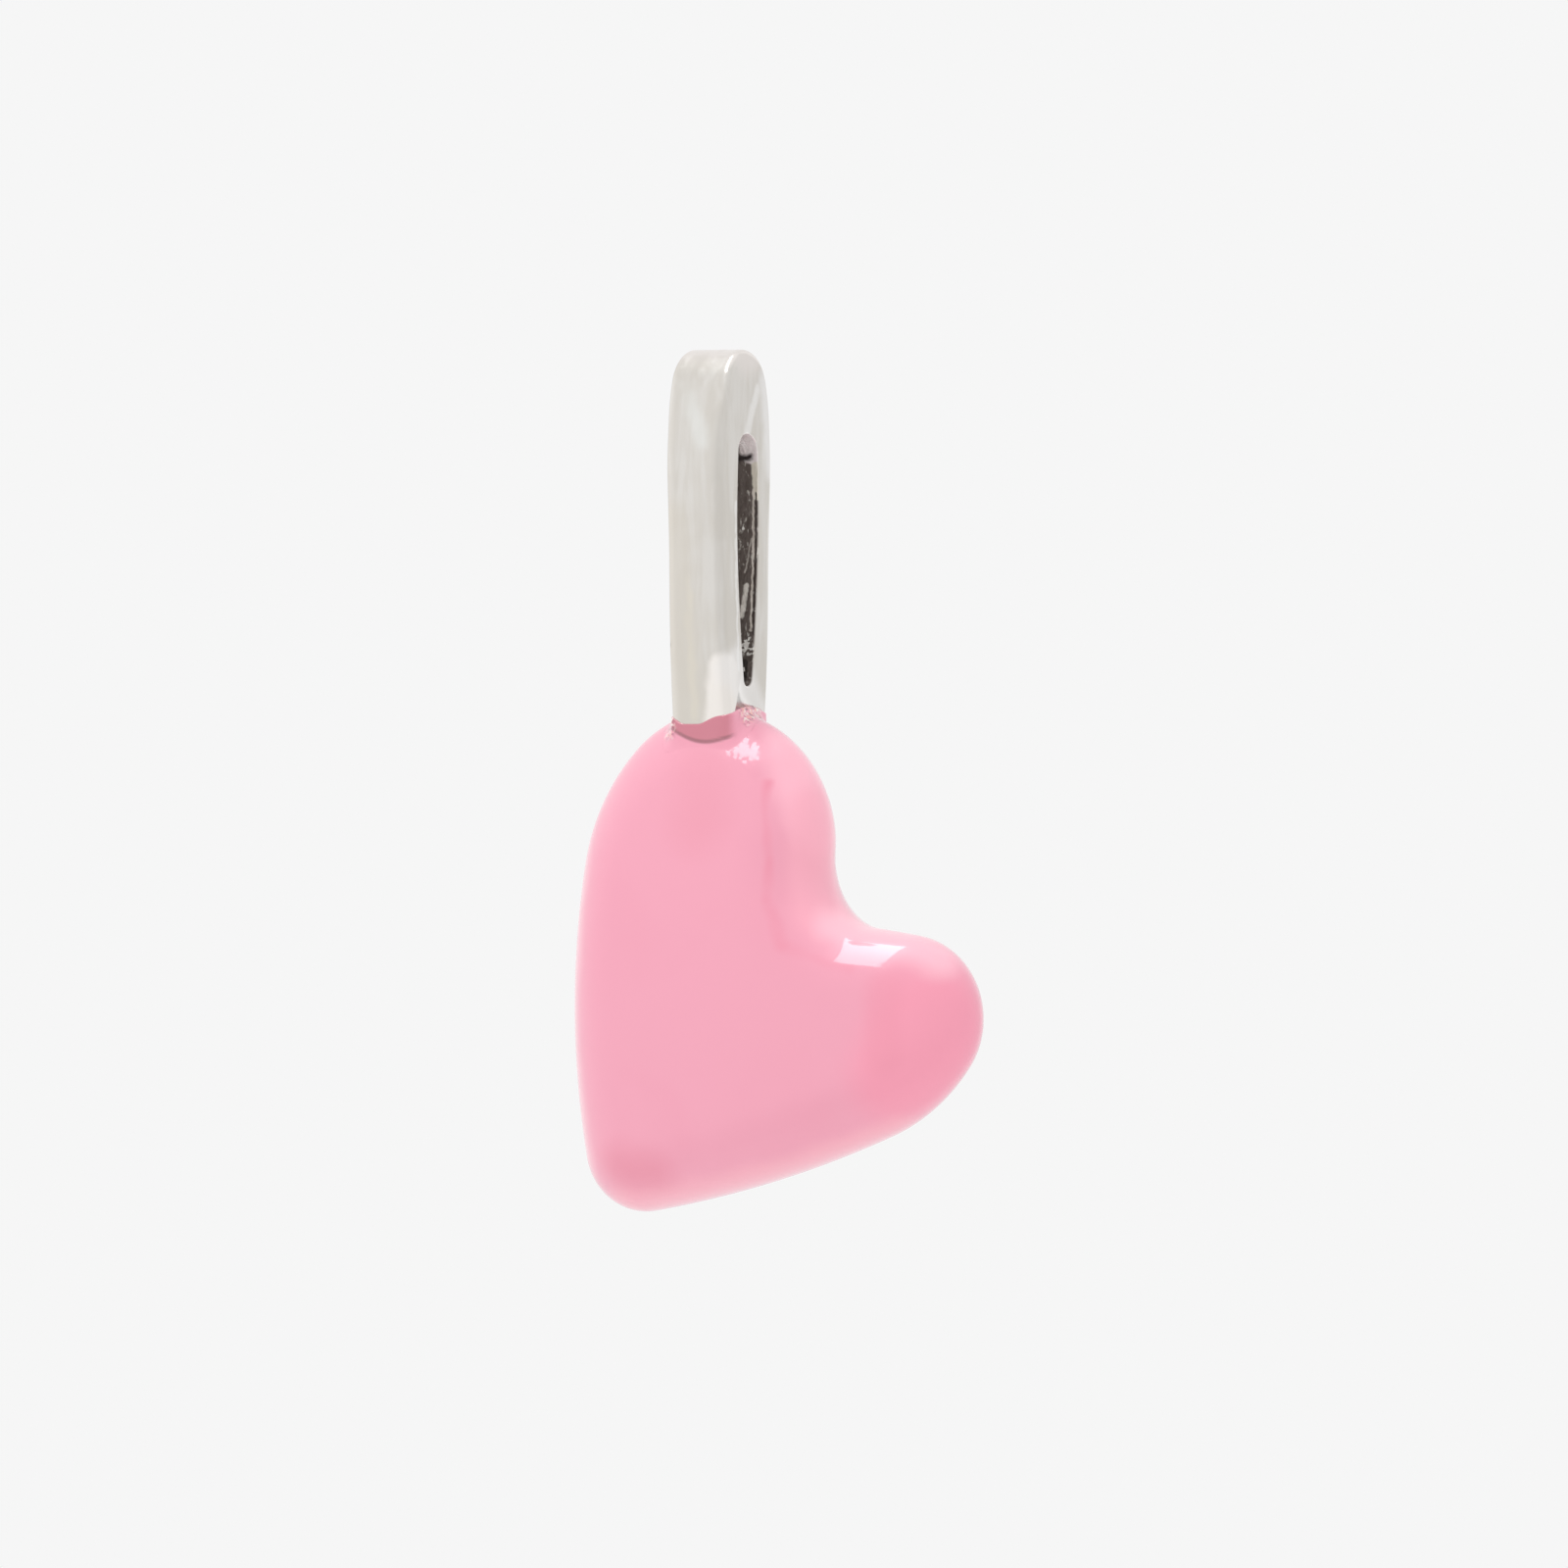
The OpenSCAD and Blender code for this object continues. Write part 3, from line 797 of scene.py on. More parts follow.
@dataclass
class Bail:
    """The bare metal loop, from its crown down to where the enamel begins."""

    finish: PolishedSilver = field(default_factory=PolishedSilver)
    eye_height: float = 7.3
    eye_gap: float = 1.22
    eye_waist: float = 2.0
    eye_side_r: float = 37.0
    band_width: float = 2.0
    leg_thickness: float = 0.87
    crown_height: float = 2.45
    bail_waist: float = 1.3
    upper_side_r: float = 10.0
    lower_side_r: float = 60.0
    foot_height: float = 0.6
    outer_edge_r: float = 0.4
    crown_edge_less: float = 0.15
    crown_z: Span = (0.0, 1.4)
    eye_edge_r: float = 0.08
    eye_finish_turn: Span = (0.35, 1.0)
    face_bulge: float = 0.03
    bulged_wall: Span = (1.5, 0.92)
    collar_dip: float = 0.48
    stem_depth: float = 2.4
    tuck: float = 0.12
    flat_inset: float = 0.03
    flaw_at: Point3 = (0.47, 0.0, 2.48)
    flaw_hub: Point2 = (-0.03, -0.28)
    flaw_r: float = 0.26
    flaw_uncurl: float = 0.25
    flaw_half: float = 0.08
    flaw_depth: float = 0.02
    flaw_turn: float = 150.0
    flaw_open: Span = (-0.35, 0.6)
    flaw_above_z: float = 2.0
    nick_x: float = -0.86
    nick_z: float = -6.1
    nick_inset: float = 0.06
    nick_reach: float = 0.14
    nick_depth: float = 0.05
    cap_steps: int = 40
    upper_steps: int = 26
    lower_steps: int = 60
    corner_steps: int = 16
    face_steps: int = 36
    cutter_steps: int = 160
    foot_side_steps: int = 26
    foot_corner_steps: int = 9

    @property
    def eye_half(self) -> float:
        """Half of the gap between the legs."""
        return self.eye_gap / 2

    @property
    def bail_half(self) -> float:
        """Half of the bail's depth at its widest place."""
        return self.eye_half + self.leg_thickness

    @property
    def foot_z(self) -> float:
        """Height at which the enamel ends on the foot's sides."""
        return -self.eye_height - self.foot_height

    def half_depth(self, z: float) -> float:
        """Half of the bail's depth at a height under its waist."""
        drop = z + self.bail_waist
        return self.bail_half - self.lower_side_r + math.sqrt(self.lower_side_r**2 - drop**2)

    @property
    def saddle_r(self) -> float:
        """Radius of the cylinder along X that the bare metal ends on."""
        half = self.half_depth(self.foot_z - self.collar_dip)
        return (half**2 + self.collar_dip**2) / (2 * self.collar_dip)

    def enamel_level(self, y: float) -> float:
        """Height at which the enamel ends at a place across the bail."""
        return self.foot_z - self.saddle_r + math.sqrt(self.saddle_r**2 - y**2)

    def loop(
        self, ends: Span, half: float, waist: float, upper_r: float, lower_r: float
    ) -> list[Point2]:
        """A long closed loop: two round ends joined by slightly bowed sides.

        Args:
            ends: Heights of its top and bottom.
            half: Half of its depth at the waist.
            waist: Height of its widest place.
            upper_r: Radius of its sides above the waist.
            lower_r: Radius of its sides below the waist.

        Returns:
            Its points across and up, down one side and up the other.
        """

        def cap_r(side_r: float, reach: float) -> float:
            """Radius of the round end that closes two bowed sides."""
            return (half * (2 * side_r - half) - reach * reach) / (2 * (side_r - reach))

        top, bottom = ends
        top_r, bottom_r = cap_r(upper_r, top - waist), cap_r(lower_r, waist - bottom)
        top_turn = angle_of(upper_r - half, top - top_r - waist)
        bottom_turn = -angle_of(lower_r - half, waist - bottom - bottom_r)
        side = [
            *arc((0, top - top_r), top_r, 90, top_turn, self.cap_steps),
            *arc((half - upper_r, waist), upper_r, top_turn, 0, self.upper_steps),
            *arc((half - lower_r, waist), lower_r, 0, bottom_turn, self.lower_steps),
            *arc((0, bottom + bottom_r), bottom_r, bottom_turn, -90, self.cap_steps),
            (0.0, bottom),
        ]
        return side + [(-y, z) for y, z in side[-2:0:-1]]

    def section(self, wall: float, crown: float) -> list[Point3]:
        """The band's section at a wall of this thickness.

        Args:
            wall: Thickness of the wall from the eye outwards.
            crown: Share of the crown's crisper edges.

        Returns:
            Points along the chain, from the eye outwards, and their share of the eye's finish, which
            carries its painted shade.
        """
        half, e, inset = self.band_width / 2, self.eye_edge_r, self.flat_inset
        r = min(self.outer_edge_r, wall / 2) - self.crown_edge_less * crown
        outer_x, inner_x = half - r, half - e
        right = [(x, y, 0.0) for x, y in arc((outer_x, wall - r), r, 90, 0, self.corner_steps)]
        right += [(half, out, 0.0) for out in (wall - r, wall - r - inset, e + inset)]
        for step, (x, y) in enumerate(arc((inner_x, e), e, 0, -90, self.corner_steps)):
            right.append((x, y, smooth_step(*self.eye_finish_turn, step / self.corner_steps)))
        right += [(inner_x, 0.0, 1.0), (inner_x - inset, 0.0, 1.0)]
        left = [(-x, y, dark) for x, y, dark in reversed(right)]
        bulge = self.face_bulge * smooth_step(*self.bulged_wall, wall)
        face = []
        for step in range(1, self.face_steps):
            x = outer_x * (2 * step / self.face_steps - 1)
            face.append((x, wall + bulge * (1 - (x / outer_x) ** 2), 0.0))
        return right + left + face

    def flaws_and_painted_eye_light(self, point: Vector) -> Vector:
        """Moves a point of the metal by the casting flaw on the crown and the nick on the front leg.

        Args:
            point: Place in millimetres.

        Returns:
            The moved place.
        """
        flaw = point - Vector(self.flaw_at)
        x, y = flaw.x - self.flaw_hub[0], flaw.y - self.flaw_hub[1]
        curl = abs(math.hypot(x, y) - self.flaw_r - self.flaw_uncurl * flaw.x)
        if point.z > self.flaw_above_z and curl < self.flaw_half:
            facing = toward(angle_of(x, y) + self.flaw_turn)[0]
            depth = self.flaw_depth * smooth_step(*self.flaw_open, facing)
            point = point - Vector((0, 0, depth * (1 - smooth_step(0.0, self.flaw_half, curl))))
        nick_y = self.nick_inset - self.half_depth(self.nick_z)
        nick = point - Vector((self.nick_x, nick_y, self.nick_z))
        near = 1 - smooth_step(0.0, self.nick_reach, nick.length)
        return point + Vector((self.nick_depth, self.nick_depth, 0)) * near

    def shell(self) -> Shell:
        """The whole swept band, with its foot running on down into the heart.

        Returns:
            The closed band with the mask of its dark eye.
        """
        ends, outer_ends = (0, -self.eye_height), (self.crown_height, self.foot_z - self.stem_depth)
        inner = self.loop(ends, self.eye_half, -self.eye_waist, self.eye_side_r, self.eye_side_r)
        outer = self.loop(
            outer_ends, self.bail_half, -self.bail_waist, self.upper_side_r, self.lower_side_r
        )
        made = Shell(masks={Mask.EYE: []})
        for near, far in zip(inner, outer):
            wall = math.dist(near, far)
            y, z = (far[0] - near[0]) / wall, (far[1] - near[1]) / wall
            for x, out, dark in self.section(wall, smooth_step(*self.crown_z, far[1])):
                made.points.append(self.flaws_and_painted_eye_light(Vector((x, near[0] + out * y, near[1] + out * z))))
                made.masks[Mask.EYE].append(dark)
        made.faces = swept(len(inner), len(made.points) // len(inner))
        return made

    def cutter(self) -> bpy.types.Object:
        """Cylinder along X that ends the metal just inside the enamel.

        Returns:
            The linked cylinder.
        """
        steps, half = self.cutter_steps, self.band_width
        made = Shell()
        circle = arc((0, self.foot_z - self.saddle_r - self.tuck), self.saddle_r, 0, 360, steps)
        for x in (-half, half):
            made.points += [Vector((x, y, z)) for y, z in circle]
        made.faces = [(i, (i + 1) % steps, steps + (i + 1) % steps, steps + i) for i in range(steps)]
        made.faces += [tuple(reversed(range(steps))), tuple(range(steps, 2 * steps))]
        return made.build("saddle_cutter")

    def build(self) -> bpy.types.Object:
        """Makes the bail, cuts its foot and dresses it.

        Returns:
            The finished bail.
        """
        piece = self.shell().build("bail_band")
        cut(piece, self.cutter())
        piece.data.materials.clear()
        piece.data.materials.append(self.finish.material())
        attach(piece, "root")
        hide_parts("bail")
        return piece

    def foot_outline(self, z: float) -> list[tuple[Vector, Vector]]:
        """The foot's outline at a height.

        Args:
            z: Height in millimetres.

        Returns:
            Place and outward direction of each station, counter-clockwise seen from above.
        """
        r = self.outer_edge_r
        x, y = self.band_width / 2 - r, self.half_depth(z) - r
        stations = []
        for quarter, corner in enumerate(((x, y), (-x, y), (-x, -y), (x, -y))):
            for step in range(self.foot_corner_steps):
                out_x, out_y = toward(90 * (quarter + step / self.foot_corner_steps))
                place = Vector((corner[0] + r * out_x, corner[1] + r * out_y, 0))
                stations.append((place, Vector((out_x, out_y, 0))))
            on_face = quarter in (0, 2)
            out = Vector((*toward(90 * (quarter + 1)), 0))
            along = Vector((-out.y, out.x, 0))
            for step in range(self.foot_side_steps):
                share = 2 * step / self.foot_side_steps
                bulge = self.face_bulge * share * (2 - share) if on_face else 0.0
                start = Vector((*corner, 0)) + r * out
                stations.append((start + along * (x if on_face else y) * share + bulge * out, out))
        return stations


@dataclass
class Heart:
    """The enamelled puffy heart, with the collar of enamel that climbs the bail's foot."""

    bail: Bail
    finish: PinkEnamel = field(default_factory=PinkEnamel)
    collar_height: float = 0.1
    lean: float = 40.3
    lobe_spacing: float = 8.15
    tip_drop: float = 8.55
    upper_lobe_r: float = 3.65
    lower_lobe_r: float = 2.45
    upper_shoulder_r: float = 5.9
    lower_shoulder_r: float = 5.95
    shoulder_turn: float = 86.0
    upper_side_bow_r: float = 29.0
    lower_side_bow_r: float = 37.0
    notch_r: float = 1.95
    notch_run_r: float = 50.0
    notch_run_turn: float = 31.0
    tip_r: float = 1.75
    thickness: float = 4.5
    face_crown_r: float = 34.0
    edge_width: float = 2.05
    edge_fullness: float = 2.6
    fullest_share: float = 0.45
    tip_shrink: float = 0.7
    tip_travel: float = 0.5
    middle_share: float = 0.45
    core_r: float = 0.6
    core_turn: float = 12.0
    edge_rings: int = 36
    arc_steps: tuple[int, ...] = (15, 27, 24, 39, 27, 45, 24, 54, 33)
    ring_skips: tuple[int, ...] = (1, 1, 1, 2, 2, 2, 4, 4, 8, 8)
    swell_at: Point3 = (2.16, -0.95, -9.35)
    swell_out: Point3 = (0.43, -0.70, 0.57)
    swell_reach: float = 0.85
    swell_height: float = 0.085
    collar_level: float = 0.7
    collar_proud: float = 0.05
    collar_front: float = 0.05
    collar_side: float = 0.42
    collar_corner: float = 0.30
    collar_inside: float = 0.08
    collar_sunk: float = 0.25
    collar_steps: int = 18
    rim_steps: int = 5
    rim_lip: float = 0.1
    slope_step: float = 0.04
    least_drop: float = 0.01
    end_tuck: Point2 = (0.02, 0.08)
    rim_climb: float = 0.24
    climb_x: Span = (-0.1, 0.7)
    rim_rise: float = 0.12
    rise_x: Span = (-0.5, -1.0)
    crease_x: float = 0.22
    crease_z: float = -8.92
    crease_bend: float = 0.3
    crease_line: Span = (0.09, 0.02)
    crease_share: float = 0.85
    wall_edge_soft: float = 0.03
    face_turn: Span = (0.1, 0.7)
    glint_pits_reach: Span = (0.42, 0.2)
    right_glint_pits_y: Span = (0.75, 0.35)
    right_glint_pits_turn: Span = (0.5, 0.95)
    left_glint_pits_z: Span = (-8.9, -8.72)
    left_glint_pits_turn: Span = (0.1, 0.6)

    @property
    def crest_z(self) -> float:
        """Height of the upper lobe's crest."""
        return self.bail.foot_z - self.collar_height

    @property
    def middle(self) -> Point2:
        """Middle of the faces in the heart's upright frame."""
        return self.lobe_spacing / 2, -self.tip_drop * self.middle_share

    def ring(self, inset: float) -> list[Point2]:
        """The heart's outline in its upright frame, moved in by an inset, clockwise from the notch.

        Args:
            inset: Distance inwards from the outline.

        Returns:
            Points of nine tangent arcs.
        """
        upper, lower = (0.0, 0.0), (self.lobe_spacing, 0.0)
        heart_tip = (self.lobe_spacing / 2, -self.tip_drop)
        right_start, left_end = 90 - self.shoulder_turn, 90 + self.shoulder_turn
        run_end = 90 + self.notch_run_turn

        def run_on(lobe: Point2, lobe_r: float, radius: float, turn: float) -> Point2:
            """Centre of the larger arc that runs on from a lobe."""
            x, y = toward(turn)
            return lobe[0] + (lobe_r - radius) * x, lobe[1] + (lobe_r - radius) * y

        def turn_of(start: Point2, end: Point2) -> float:
            """Angle of the way from one centre to another."""
            return angle_of(end[0] - start[0], end[1] - start[1])

        run = run_on(lower, self.lower_lobe_r, self.notch_run_r, run_end)
        notch = meet(upper, self.upper_lobe_r + self.notch_r, run, self.notch_run_r + self.notch_r, 1)
        travel = self.tip_travel * inset / math.dist(notch, heart_tip)
        tip = tuple(t + travel * (n - t) for t, n in zip(heart_tip, notch))
        tip_r = self.tip_r - self.tip_shrink * inset
        right = run_on(lower, self.lower_lobe_r, self.lower_shoulder_r, right_start)
        left = run_on(upper, self.upper_lobe_r, self.upper_shoulder_r, left_end)
        right_r, left_r = self.lower_side_bow_r, self.upper_side_bow_r
        right_side = meet(right, right_r - self.lower_shoulder_r, tip, right_r - inset - tip_r, -1)
        left_side = meet(left, left_r - self.upper_shoulder_r, tip, left_r - inset - tip_r, 1)

        turns = [turn_of(run, notch), run_end, right_start]
        turns += [turn_of(right_side, right), turn_of(right_side, tip)]
        left_turns = (turn_of(left_side, tip), turn_of(left_side, left), left_end)
        for angle in (*left_turns, turn_of(upper, notch)):
            turns.append(angle - 360 if angle > turns[-1] else angle)
        arcs = [
            (run, self.notch_run_r - inset),
            (lower, self.lower_lobe_r - inset),
            (right, self.lower_shoulder_r - inset),
            (right_side, right_r - inset),
            (tip, tip_r),
            (left_side, left_r - inset),
            (left, self.upper_shoulder_r - inset),
            (upper, self.upper_lobe_r - inset),
        ]
        points = []
        for (centre, radius), start, end, steps in zip(arcs, turns, turns[1:], self.arc_steps):
            points += arc(centre, radius, start, end, steps)
        hollow, hollow_end = turn_of(notch, upper), turn_of(notch, run)
        if hollow_end < hollow:
            hollow_end += 360
        return points + arc(notch, self.notch_r + inset, hollow, hollow_end, self.arc_steps[-1])

    def face_half(self, x: float, z: float) -> float:
        """Half of the heart's thickness at a place on its face."""
        drop = (x - self.lobe_spacing / 2) ** 2 + (z + self.tip_drop * self.fullest_share) ** 2
        return self.thickness / 2 - drop / (2 * self.face_crown_r)

    def rings(self, side: Side) -> list[list[Vector]]:
        """Rings of one face: the rounded edge, from the outline inwards, then the crowned face.

        Args:
            side: Face to make.

        Returns:
            Rings of points in the heart's upright frame.
        """
        made = []
        for step in range(1, self.edge_rings + 1):
            x = math.cos(math.pi / 2 * step / self.edge_rings)
            swell = side.value * math.sqrt(1 - max(x, 0.0) ** self.edge_fullness)
            ring = self.ring(self.edge_width * (1 - x))
            made.append([Vector((px, swell * self.face_half(px, pz), pz)) for px, pz in ring])
        rim, middle = self.ring(self.edge_width), self.middle
        start = angle_of(rim[0][0] - middle[0], rim[0][1] - middle[1]) + self.core_turn
        for step, skip in enumerate(self.ring_skips, 1):
            share, ring = step / len(self.ring_skips), []
            for k in range(0, len(rim), skip):
                x, z = toward(start - 360 * k / len(rim))
                px = rim[k][0] + share * (middle[0] + self.core_r * x - rim[k][0])
                pz = rim[k][1] + share * (middle[1] + self.core_r * z - rim[k][1])
                ring.append(Vector((px, side.value * self.face_half(px, pz), pz)))
            made.append(ring)
        return made

    def hung(self, point: Vector) -> Vector:
        """Moves a point from the heart's upright frame to where it hangs."""
        lobe = Vector((0, 0, self.crest_z - self.upper_lobe_r))
        return Matrix.Rotation(math.radians(self.lean), 3, "Y") @ point + lobe

    def pillow(self) -> Shell:
        """The puffy heart without its collar, where it hangs.

        Returns:
            The closed heart with the low swell beside its collar.
        """
        made = Shell()
        made.points = [self.hung(Vector((x, 0, z))) for x, z in self.ring(0)]
        outline = len(made.points)
        for side in Side:
            start, count = 0, outline
            triangles = []
            for ring in self.rings(side):
                at = len(made.points)
                made.points += [self.hung(point) for point in ring]
                cover = skin if len(ring) == count else narrowing_skin
                triangles += cover(start, at, len(ring))
                start, count = at, len(ring)
            at = len(made.points)
            x, z = self.middle
            made.points.append(self.hung(Vector((x, side.value * self.face_half(x, z), z))))
            triangles += [(start + i, at, start + (i + 1) % count) for i in range(count)]
            made.faces += [t if side is Side.FRONT else t[::-1] for t in triangles]
        swell, out = Vector(self.swell_at), Vector(self.swell_out)
        for point in made.points:
            near = smooth_step(self.swell_reach, 0.0, (point - swell).length)
            point += out * (self.swell_height * near)
        return made

    def collar_section(
        self, pillow: BVHTree, place: Vector, out: Vector, rim_z: float
    ) -> list[Point2]:
        """Section of the collar at one station round the foot.

        Args:
            pillow: Search tree of the pillow.
            place: The station's place on the metal.
            out: Its outward direction.
            rim_z: Height of the enamel's rim there.

        Returns:
            Reach outwards and height of each point, up inside the metal and down outside it.
        """

        def surface(reach: float) -> float:
            """Height of the pillow at a reach out from the foot."""
            return pillow.ray_cast(place + reach * out, Vector((0, 0, -1)))[0].z

        across, deep, proud = out.x**2, out.y**2, self.collar_proud
        width = self.collar_side * across + self.collar_front * deep
        width -= self.collar_corner * across * deep
        near_z, far_z = surface(proud), surface(proud + width)
        slope_z = surface(proud + width - self.slope_step)
        top = (proud, rim_z - proud)
        turn_z = far_z + (slope_z - far_z) / self.slope_step * width
        turn = (proud, min(max(turn_z, near_z), top[1] - self.least_drop))
        end = (proud + width, far_z)
        section = [(-self.collar_inside, rim_z - self.rim_lip), (-self.collar_inside, rim_z)]
        section += arc((0, rim_z - proud), proud, 90, 0, self.rim_steps)
        for step in range(self.collar_steps + 1):
            t = step / self.collar_steps
            first, second, last = (1 - t) ** 2, 2 * t * (1 - t), t * t
            curve = (first * a + second * b + last * c for a, b, c in zip(top, turn, end))
            section.append(tuple(curve))
        section.append((end[0] - self.end_tuck[0], far_z - self.end_tuck[1]))
        return section + [(-self.collar_inside, near_z - self.collar_sunk)]

    def collar_finish(self, place: Vector, out: Vector, reach: float, z: float) -> dict[Mask, float]:
        """Finish of the collar at one of its points.

        Args:
            place: The station's place on the metal.
            out: Its outward direction.
            reach: The point's reach outwards.
            z: The point's height.

        Returns:
            The point's share of each mask.
        """
        across, face = out.x**2, smooth_step(*self.face_turn, out.y**2)
        crease_z = self.crease_z + self.crease_bend * (place.x - self.crease_x) ** 2
        # Where the fillets beside the foot carry pits with painted glints.
        pit_glint = smooth_step(*self.glint_pits_reach, reach)
        if place.x > 0:
            pit_glint *= smooth_step(*self.right_glint_pits_y, abs(place.y))
            pit_glint *= smooth_step(*self.right_glint_pits_turn, across)
        else:
            pit_glint *= smooth_step(*self.left_glint_pits_z, z) * smooth_step(*self.left_glint_pits_turn, across)
        return {
            Mask.THIN: face * smooth_step(crease_z - self.wall_edge_soft, crease_z + self.wall_edge_soft, z),
            # Painted shade in a narrow line along the crease.
            Mask.CREASE: self.crease_share * face * smooth_step(*self.crease_line, abs(z - crease_z)),
            Mask.PITS_AND_GLINTS: pit_glint,
        }

    def collar(self, pillow: BVHTree) -> Shell:
        """Ring of enamel round the foot, from its rim on the metal out to the pillow.

        Args:
            pillow: Search tree of the pillow.

        Returns:
            The closed ring with the masks of its darker wall, its painted crease shade and its pits
            with painted glints.
        """
        made = Shell(masks={Mask.THIN: [], Mask.CREASE: [], Mask.PITS_AND_GLINTS: []})
        level = self.bail.foot_z - self.collar_level * self.bail.collar_dip
        stations = self.bail.foot_outline(level)
        metal = self.bail.shell().tree()
        for foot, out in stations:
            climb = 1 - self.rim_climb * smooth_step(*self.climb_x, foot.x)
            rim_z = self.bail.enamel_level(climb * min(abs(foot.y), self.bail.half_depth(level)))
            rim_z += self.rim_rise * out.y**2 * smooth_step(*self.rise_x, foot.x)
            hit = metal.ray_cast(Vector((*(foot + out).xy, rim_z)), -out)[0]
            place = Vector((*hit.xy, 0))
            for reach, z in self.collar_section(pillow, place, out, rim_z):
                made.points.append(Vector((*(place + reach * out).xy, z)))
                for mask, share in self.collar_finish(place, out, reach, z).items():
                    made.masks[mask].append(share)
        quads = swept(len(stations), len(made.points) // len(stations))
        made.faces = [(a, d, c, b) for a, b, c, d in quads]
        return made

    def build(self) -> bpy.types.Object:
        """Makes the heart, joins the collar to it and dresses it.

        Returns:
            The finished heart.
        """
        whole = self.pillow()
        whole.add(self.collar(whole.tree()))
        piece = whole.build("puffy_heart")
        piece.data.materials.append(self.finish.material())
        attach(piece, "root")
        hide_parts("heart")
        return piece


@dataclass(frozen=True)
class Softbox:
    """A rectangular lamp over the pendant that faces it, its width along X."""

    name: str
    side: float
    front: float
    distance: float
    width: float
    depth: float
    watts: float

    def build(self, target: Vector) -> bpy.types.Object:
        """Makes the lamp.

        Args:
            target: Place in metres that it faces.

        Returns:
            The linked lamp.
        """
        lamp = bpy.data.lights.new(self.name, "AREA")
        lamp.shape = "RECTANGLE"
        lamp.size, lamp.size_y = self.width, self.depth
        lamp.energy = self.watts
        made = bpy.data.objects.new(self.name, lamp)
        back = Vector((self.side, -self.front, math.sqrt(1 - self.side**2 - self.front**2)))
        made.location = target + back * self.distance
        along = back.cross(Vector((1, 0, 0))).normalized()
        made.rotation_euler = Matrix((along.cross(back), along, back)).transposed().to_euler()
        bpy.context.scene.collection.objects.link(made)
        return made


@dataclass(frozen=True)
class DarkCorner:
    """A slightly darker part of the surroundings, by its angles in degrees."""

    left: float
    right: float
    low: float
    high: float
    soft: float
    strength: float


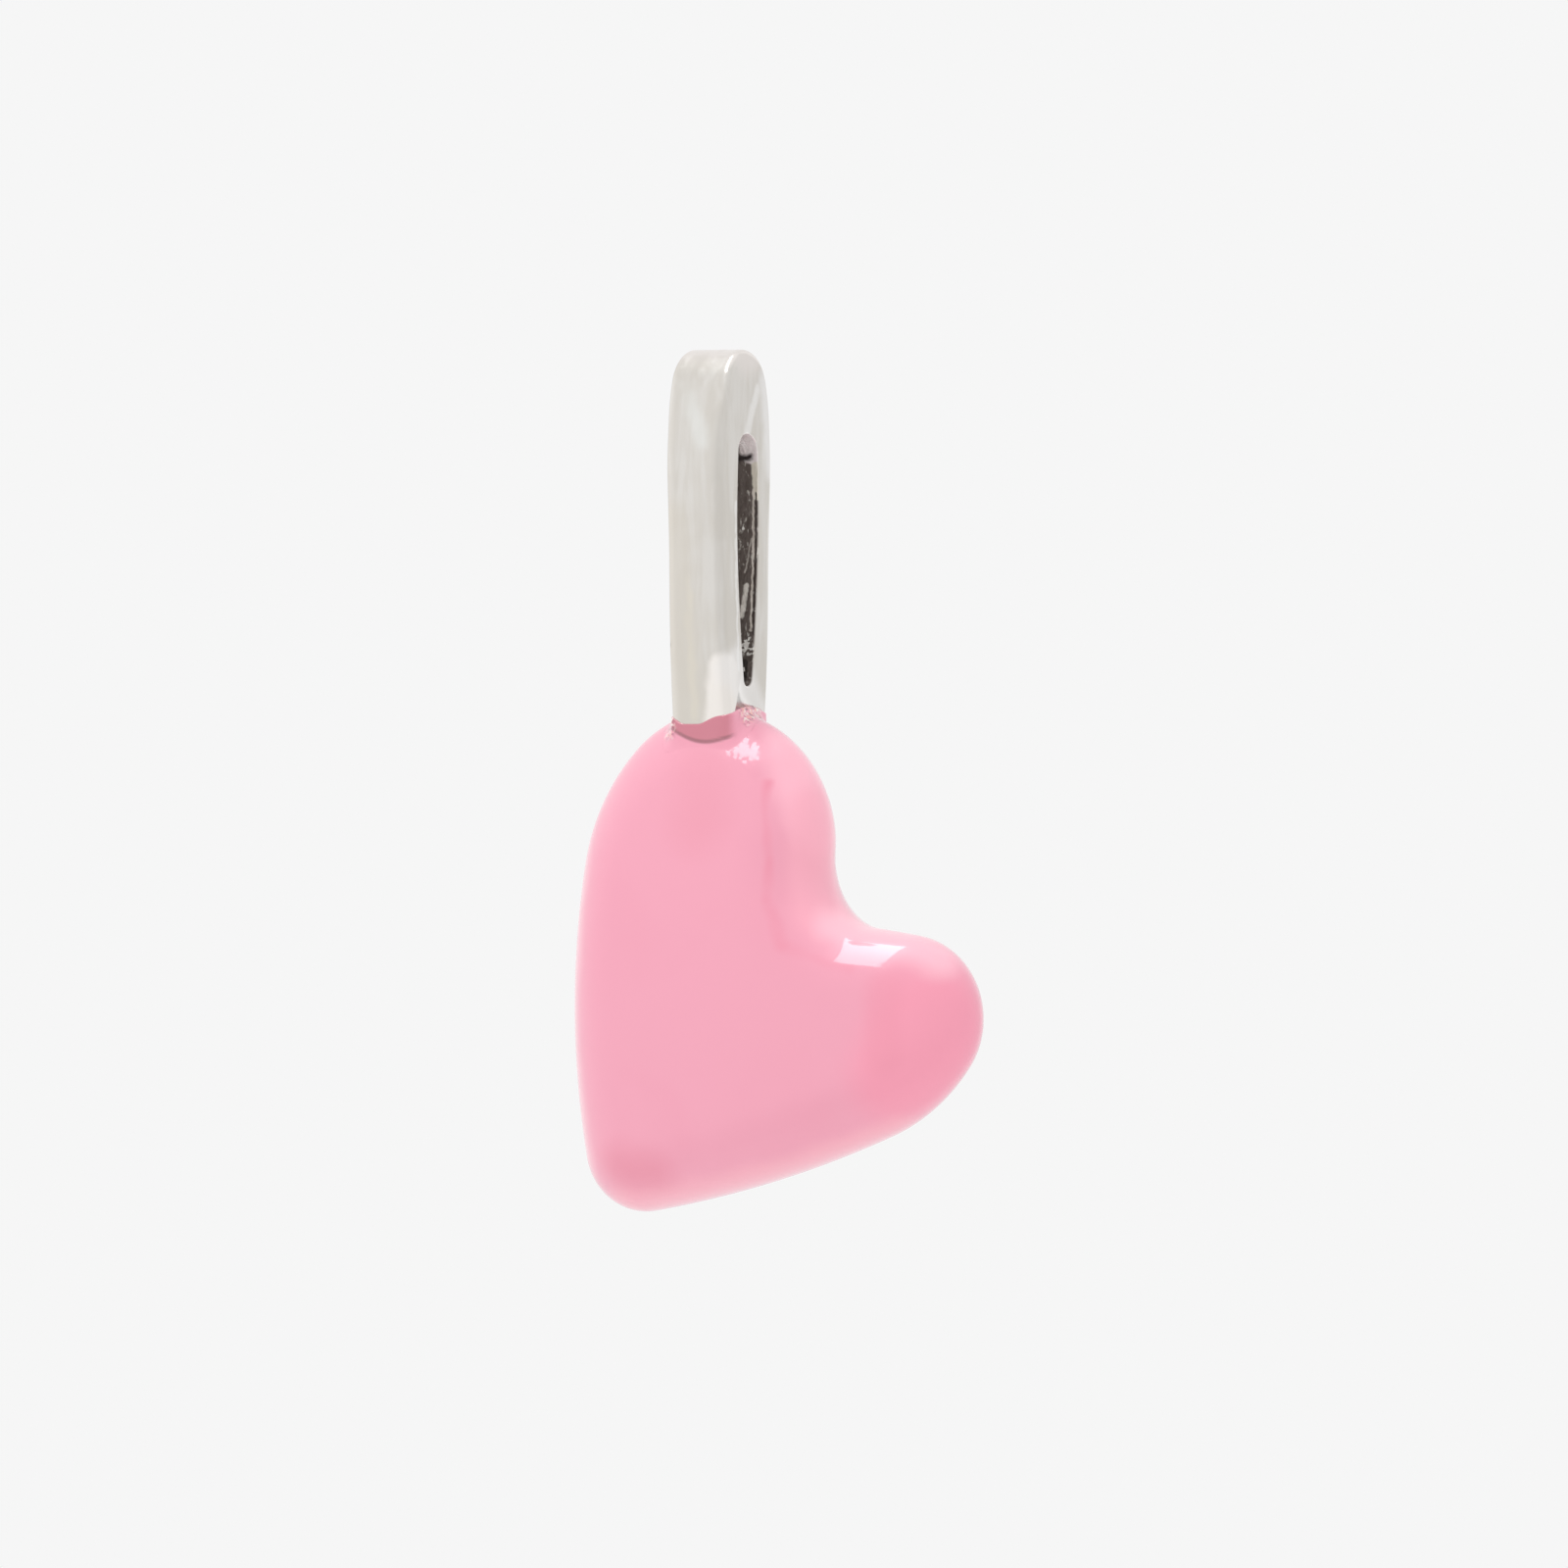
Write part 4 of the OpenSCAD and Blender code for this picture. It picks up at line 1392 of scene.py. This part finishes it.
@dataclass
class Studio:
    """Camera, lamp, world and floor. Azimuth is from the front towards +X, in degrees."""

    picture_px: int = 1600
    mm_per_px: float = 25.0 / 880
    axis_px: float = 733.5
    eye_top_px: float = 443.0
    azimuth: float = 30.0
    distance: float = 0.8
    sensor_mm: float = 36.0
    floor_mm: float = -35.0
    floor_half: float = 2.5
    pale: float = 0.922
    fill: float = 0.955
    floor: PaleFloor = field(default_factory=PaleFloor)
    lamp: Softbox = Softbox("overhead_softbox", -0.267, 0.275, 0.45, 0.09, 0.43, 0.59)
    walls: tuple[Point2, ...] = (
        (-180, 1.0), (-130, 1.05), (-75, 1.15), (-30, 1.06), (10, 0.94), (60, 0.92), (120, 0.96),
        (152, 0.93), (172, 1.10), (180, 1.05),
    )
    heights: tuple[Point2, ...] = (
        (-90, 1.0), (-20, 0.98), (10, 1.0), (54, 1.0), (70, 1.1), (90, 1.1),
    )
    poles: Fade = (0.75, 0.95, 0.0, 1.0)
    corner: DarkCorner = DarkCorner(-70, 60, -48, -24, 12, 0.10)

    @property
    def target(self) -> Vector:
        """Place that the middle of the picture shows.

        Returns:
            The place in metres.
        """
        half, m_per_px = self.picture_px / 2, self.mm_per_px * MM
        across = Vector((*toward(self.azimuth), 0)) * ((half - self.axis_px) * m_per_px)
        return across + Vector((0, 0, (self.eye_top_px - half) * m_per_px))

    def camera(self) -> bpy.types.Object:
        """Makes the camera at the photograph's place, level with the pendant.

        Returns:
            The scene's camera.
        """
        data = bpy.data.cameras.new("camera")
        data.sensor_width = self.sensor_mm
        data.lens = self.sensor_mm * self.distance / (self.picture_px * self.mm_per_px * MM)
        data.clip_start, data.clip_end = 0.01, 50
        made = bpy.data.objects.new("camera", data)
        x, y = toward(self.azimuth)
        back = Vector((y, -x, 0))
        made.location = self.target + back * self.distance
        made.rotation_euler = (-back).to_track_quat("-Z", "Y").to_euler()
        bpy.context.scene.collection.objects.link(made)
        bpy.context.scene.camera = made
        return made

    def room(self, board: NodeBoard) -> Socket:
        """The surroundings as they show in the reflections, gently uneven.

        Args:
            board: Board of the world's nodes.

        Returns:
            Their colour at a quarter of its strength, because each ramp holds half of its values.
        """
        way = board.node("ShaderNodeSeparateXYZ")
        board.put(board.node("ShaderNodeTexCoord").outputs["Generated"], way.inputs[0])
        x, y, z = way.outputs
        turn = board.math("ARCTAN2", x, board.math("MULTIPLY", y, -1.0))
        turn = board.math("ADD", board.math("DIVIDE", turn, 2 * math.pi), 0.5)
        rise = board.math("ADD", board.math("DIVIDE", board.math("ARCSINE", z), math.pi), 0.5)
        walls = board.ramp(turn, tuple(((a + 180) / 360, grey / 2) for a, grey in self.walls))
        heights = board.ramp(rise, tuple(((e + 90) / 180, grey / 2) for e, grey in self.heights))
        polar = board.range(board.math("ABSOLUTE", z), *self.poles)
        walls = board.blend(polar, walls, (0.5, 0.5, 0.5))
        room = board.blend(1.0, walls, heights, "MULTIPLY")
        dark = self.corner
        across = board.band(turn, (dark.left + 180) / 360, (dark.right + 180) / 360, dark.soft / 360)
        up = board.band(rise, (dark.low + 90) / 180, (dark.high + 90) / 180, dark.soft / 180)
        share = board.math("MULTIPLY", board.math("MULTIPLY", across, up), dark.strength)
        return board.blend(share, room, (0.0, 0.0, 0.0))

    def world(self) -> None:
        """Makes the pale surroundings: plain to the camera, gently uneven in the reflections."""
        made = bpy.data.worlds.new("studio")
        bpy.context.scene.world = made
        made.use_nodes = True
        board = NodeBoard(made.node_tree)
        path = board.node("ShaderNodeLightPath").outputs
        plain = board.colour((self.pale,) * 3)
        seen, mirrored, fill = (
            board.filled("ShaderNodeBackground", colour, strength).outputs[0]
            for colour, strength in (
                (plain, 1.0),
                (self.room(board), 4 * self.pale),
                ((1.0, 1.0, 1.0, 1.0), self.fill),
            )
        )
        glossy = board.math("MAXIMUM", path["Is Glossy Ray"], path["Is Transmission Ray"])
        lit = board.either(glossy, fill, mirrored)
        board.show(board.either(path["Is Camera Ray"], lit, seen), "ShaderNodeOutputWorld")

    def ground(self) -> bpy.types.Object:
        """Makes the plain pale floor under the pendant.

        Returns:
            The floor.
        """
        half = self.floor_half
        mesh = bpy.data.meshes.new("floor")
        corners = ((-half, -half, 0), (half, -half, 0), (half, half, 0), (-half, half, 0))
        mesh.from_pydata(corners, [], [(0, 1, 2, 3)])
        made = bpy.data.objects.new("floor", mesh)
        made.location = (0, 0, self.floor_mm * MM)
        mesh.materials.append(self.floor.material())
        bpy.context.scene.collection.objects.link(made)
        return made

    def build(self) -> None:
        """Makes the whole studio."""
        self.world()
        self.ground()
        self.lamp.build(self.target)
        self.camera()
        bpy.context.scene.view_settings.view_transform = "Standard"


def main() -> None:
    """Builds the pendant and its studio."""
    logging.basicConfig(level=logging.INFO, format="%(name)s: %(message)s")
    bail = Bail()
    heart = Heart(bail)
    for piece in (bail.build(), heart.build()):
        mesh = piece.data
        LOG.info("%s: %d vertices, %d faces", piece.name, len(mesh.vertices), len(mesh.polygons))
    Studio().build()
    LOG.info("studio ready")


if __name__ == "__main__":
    main()
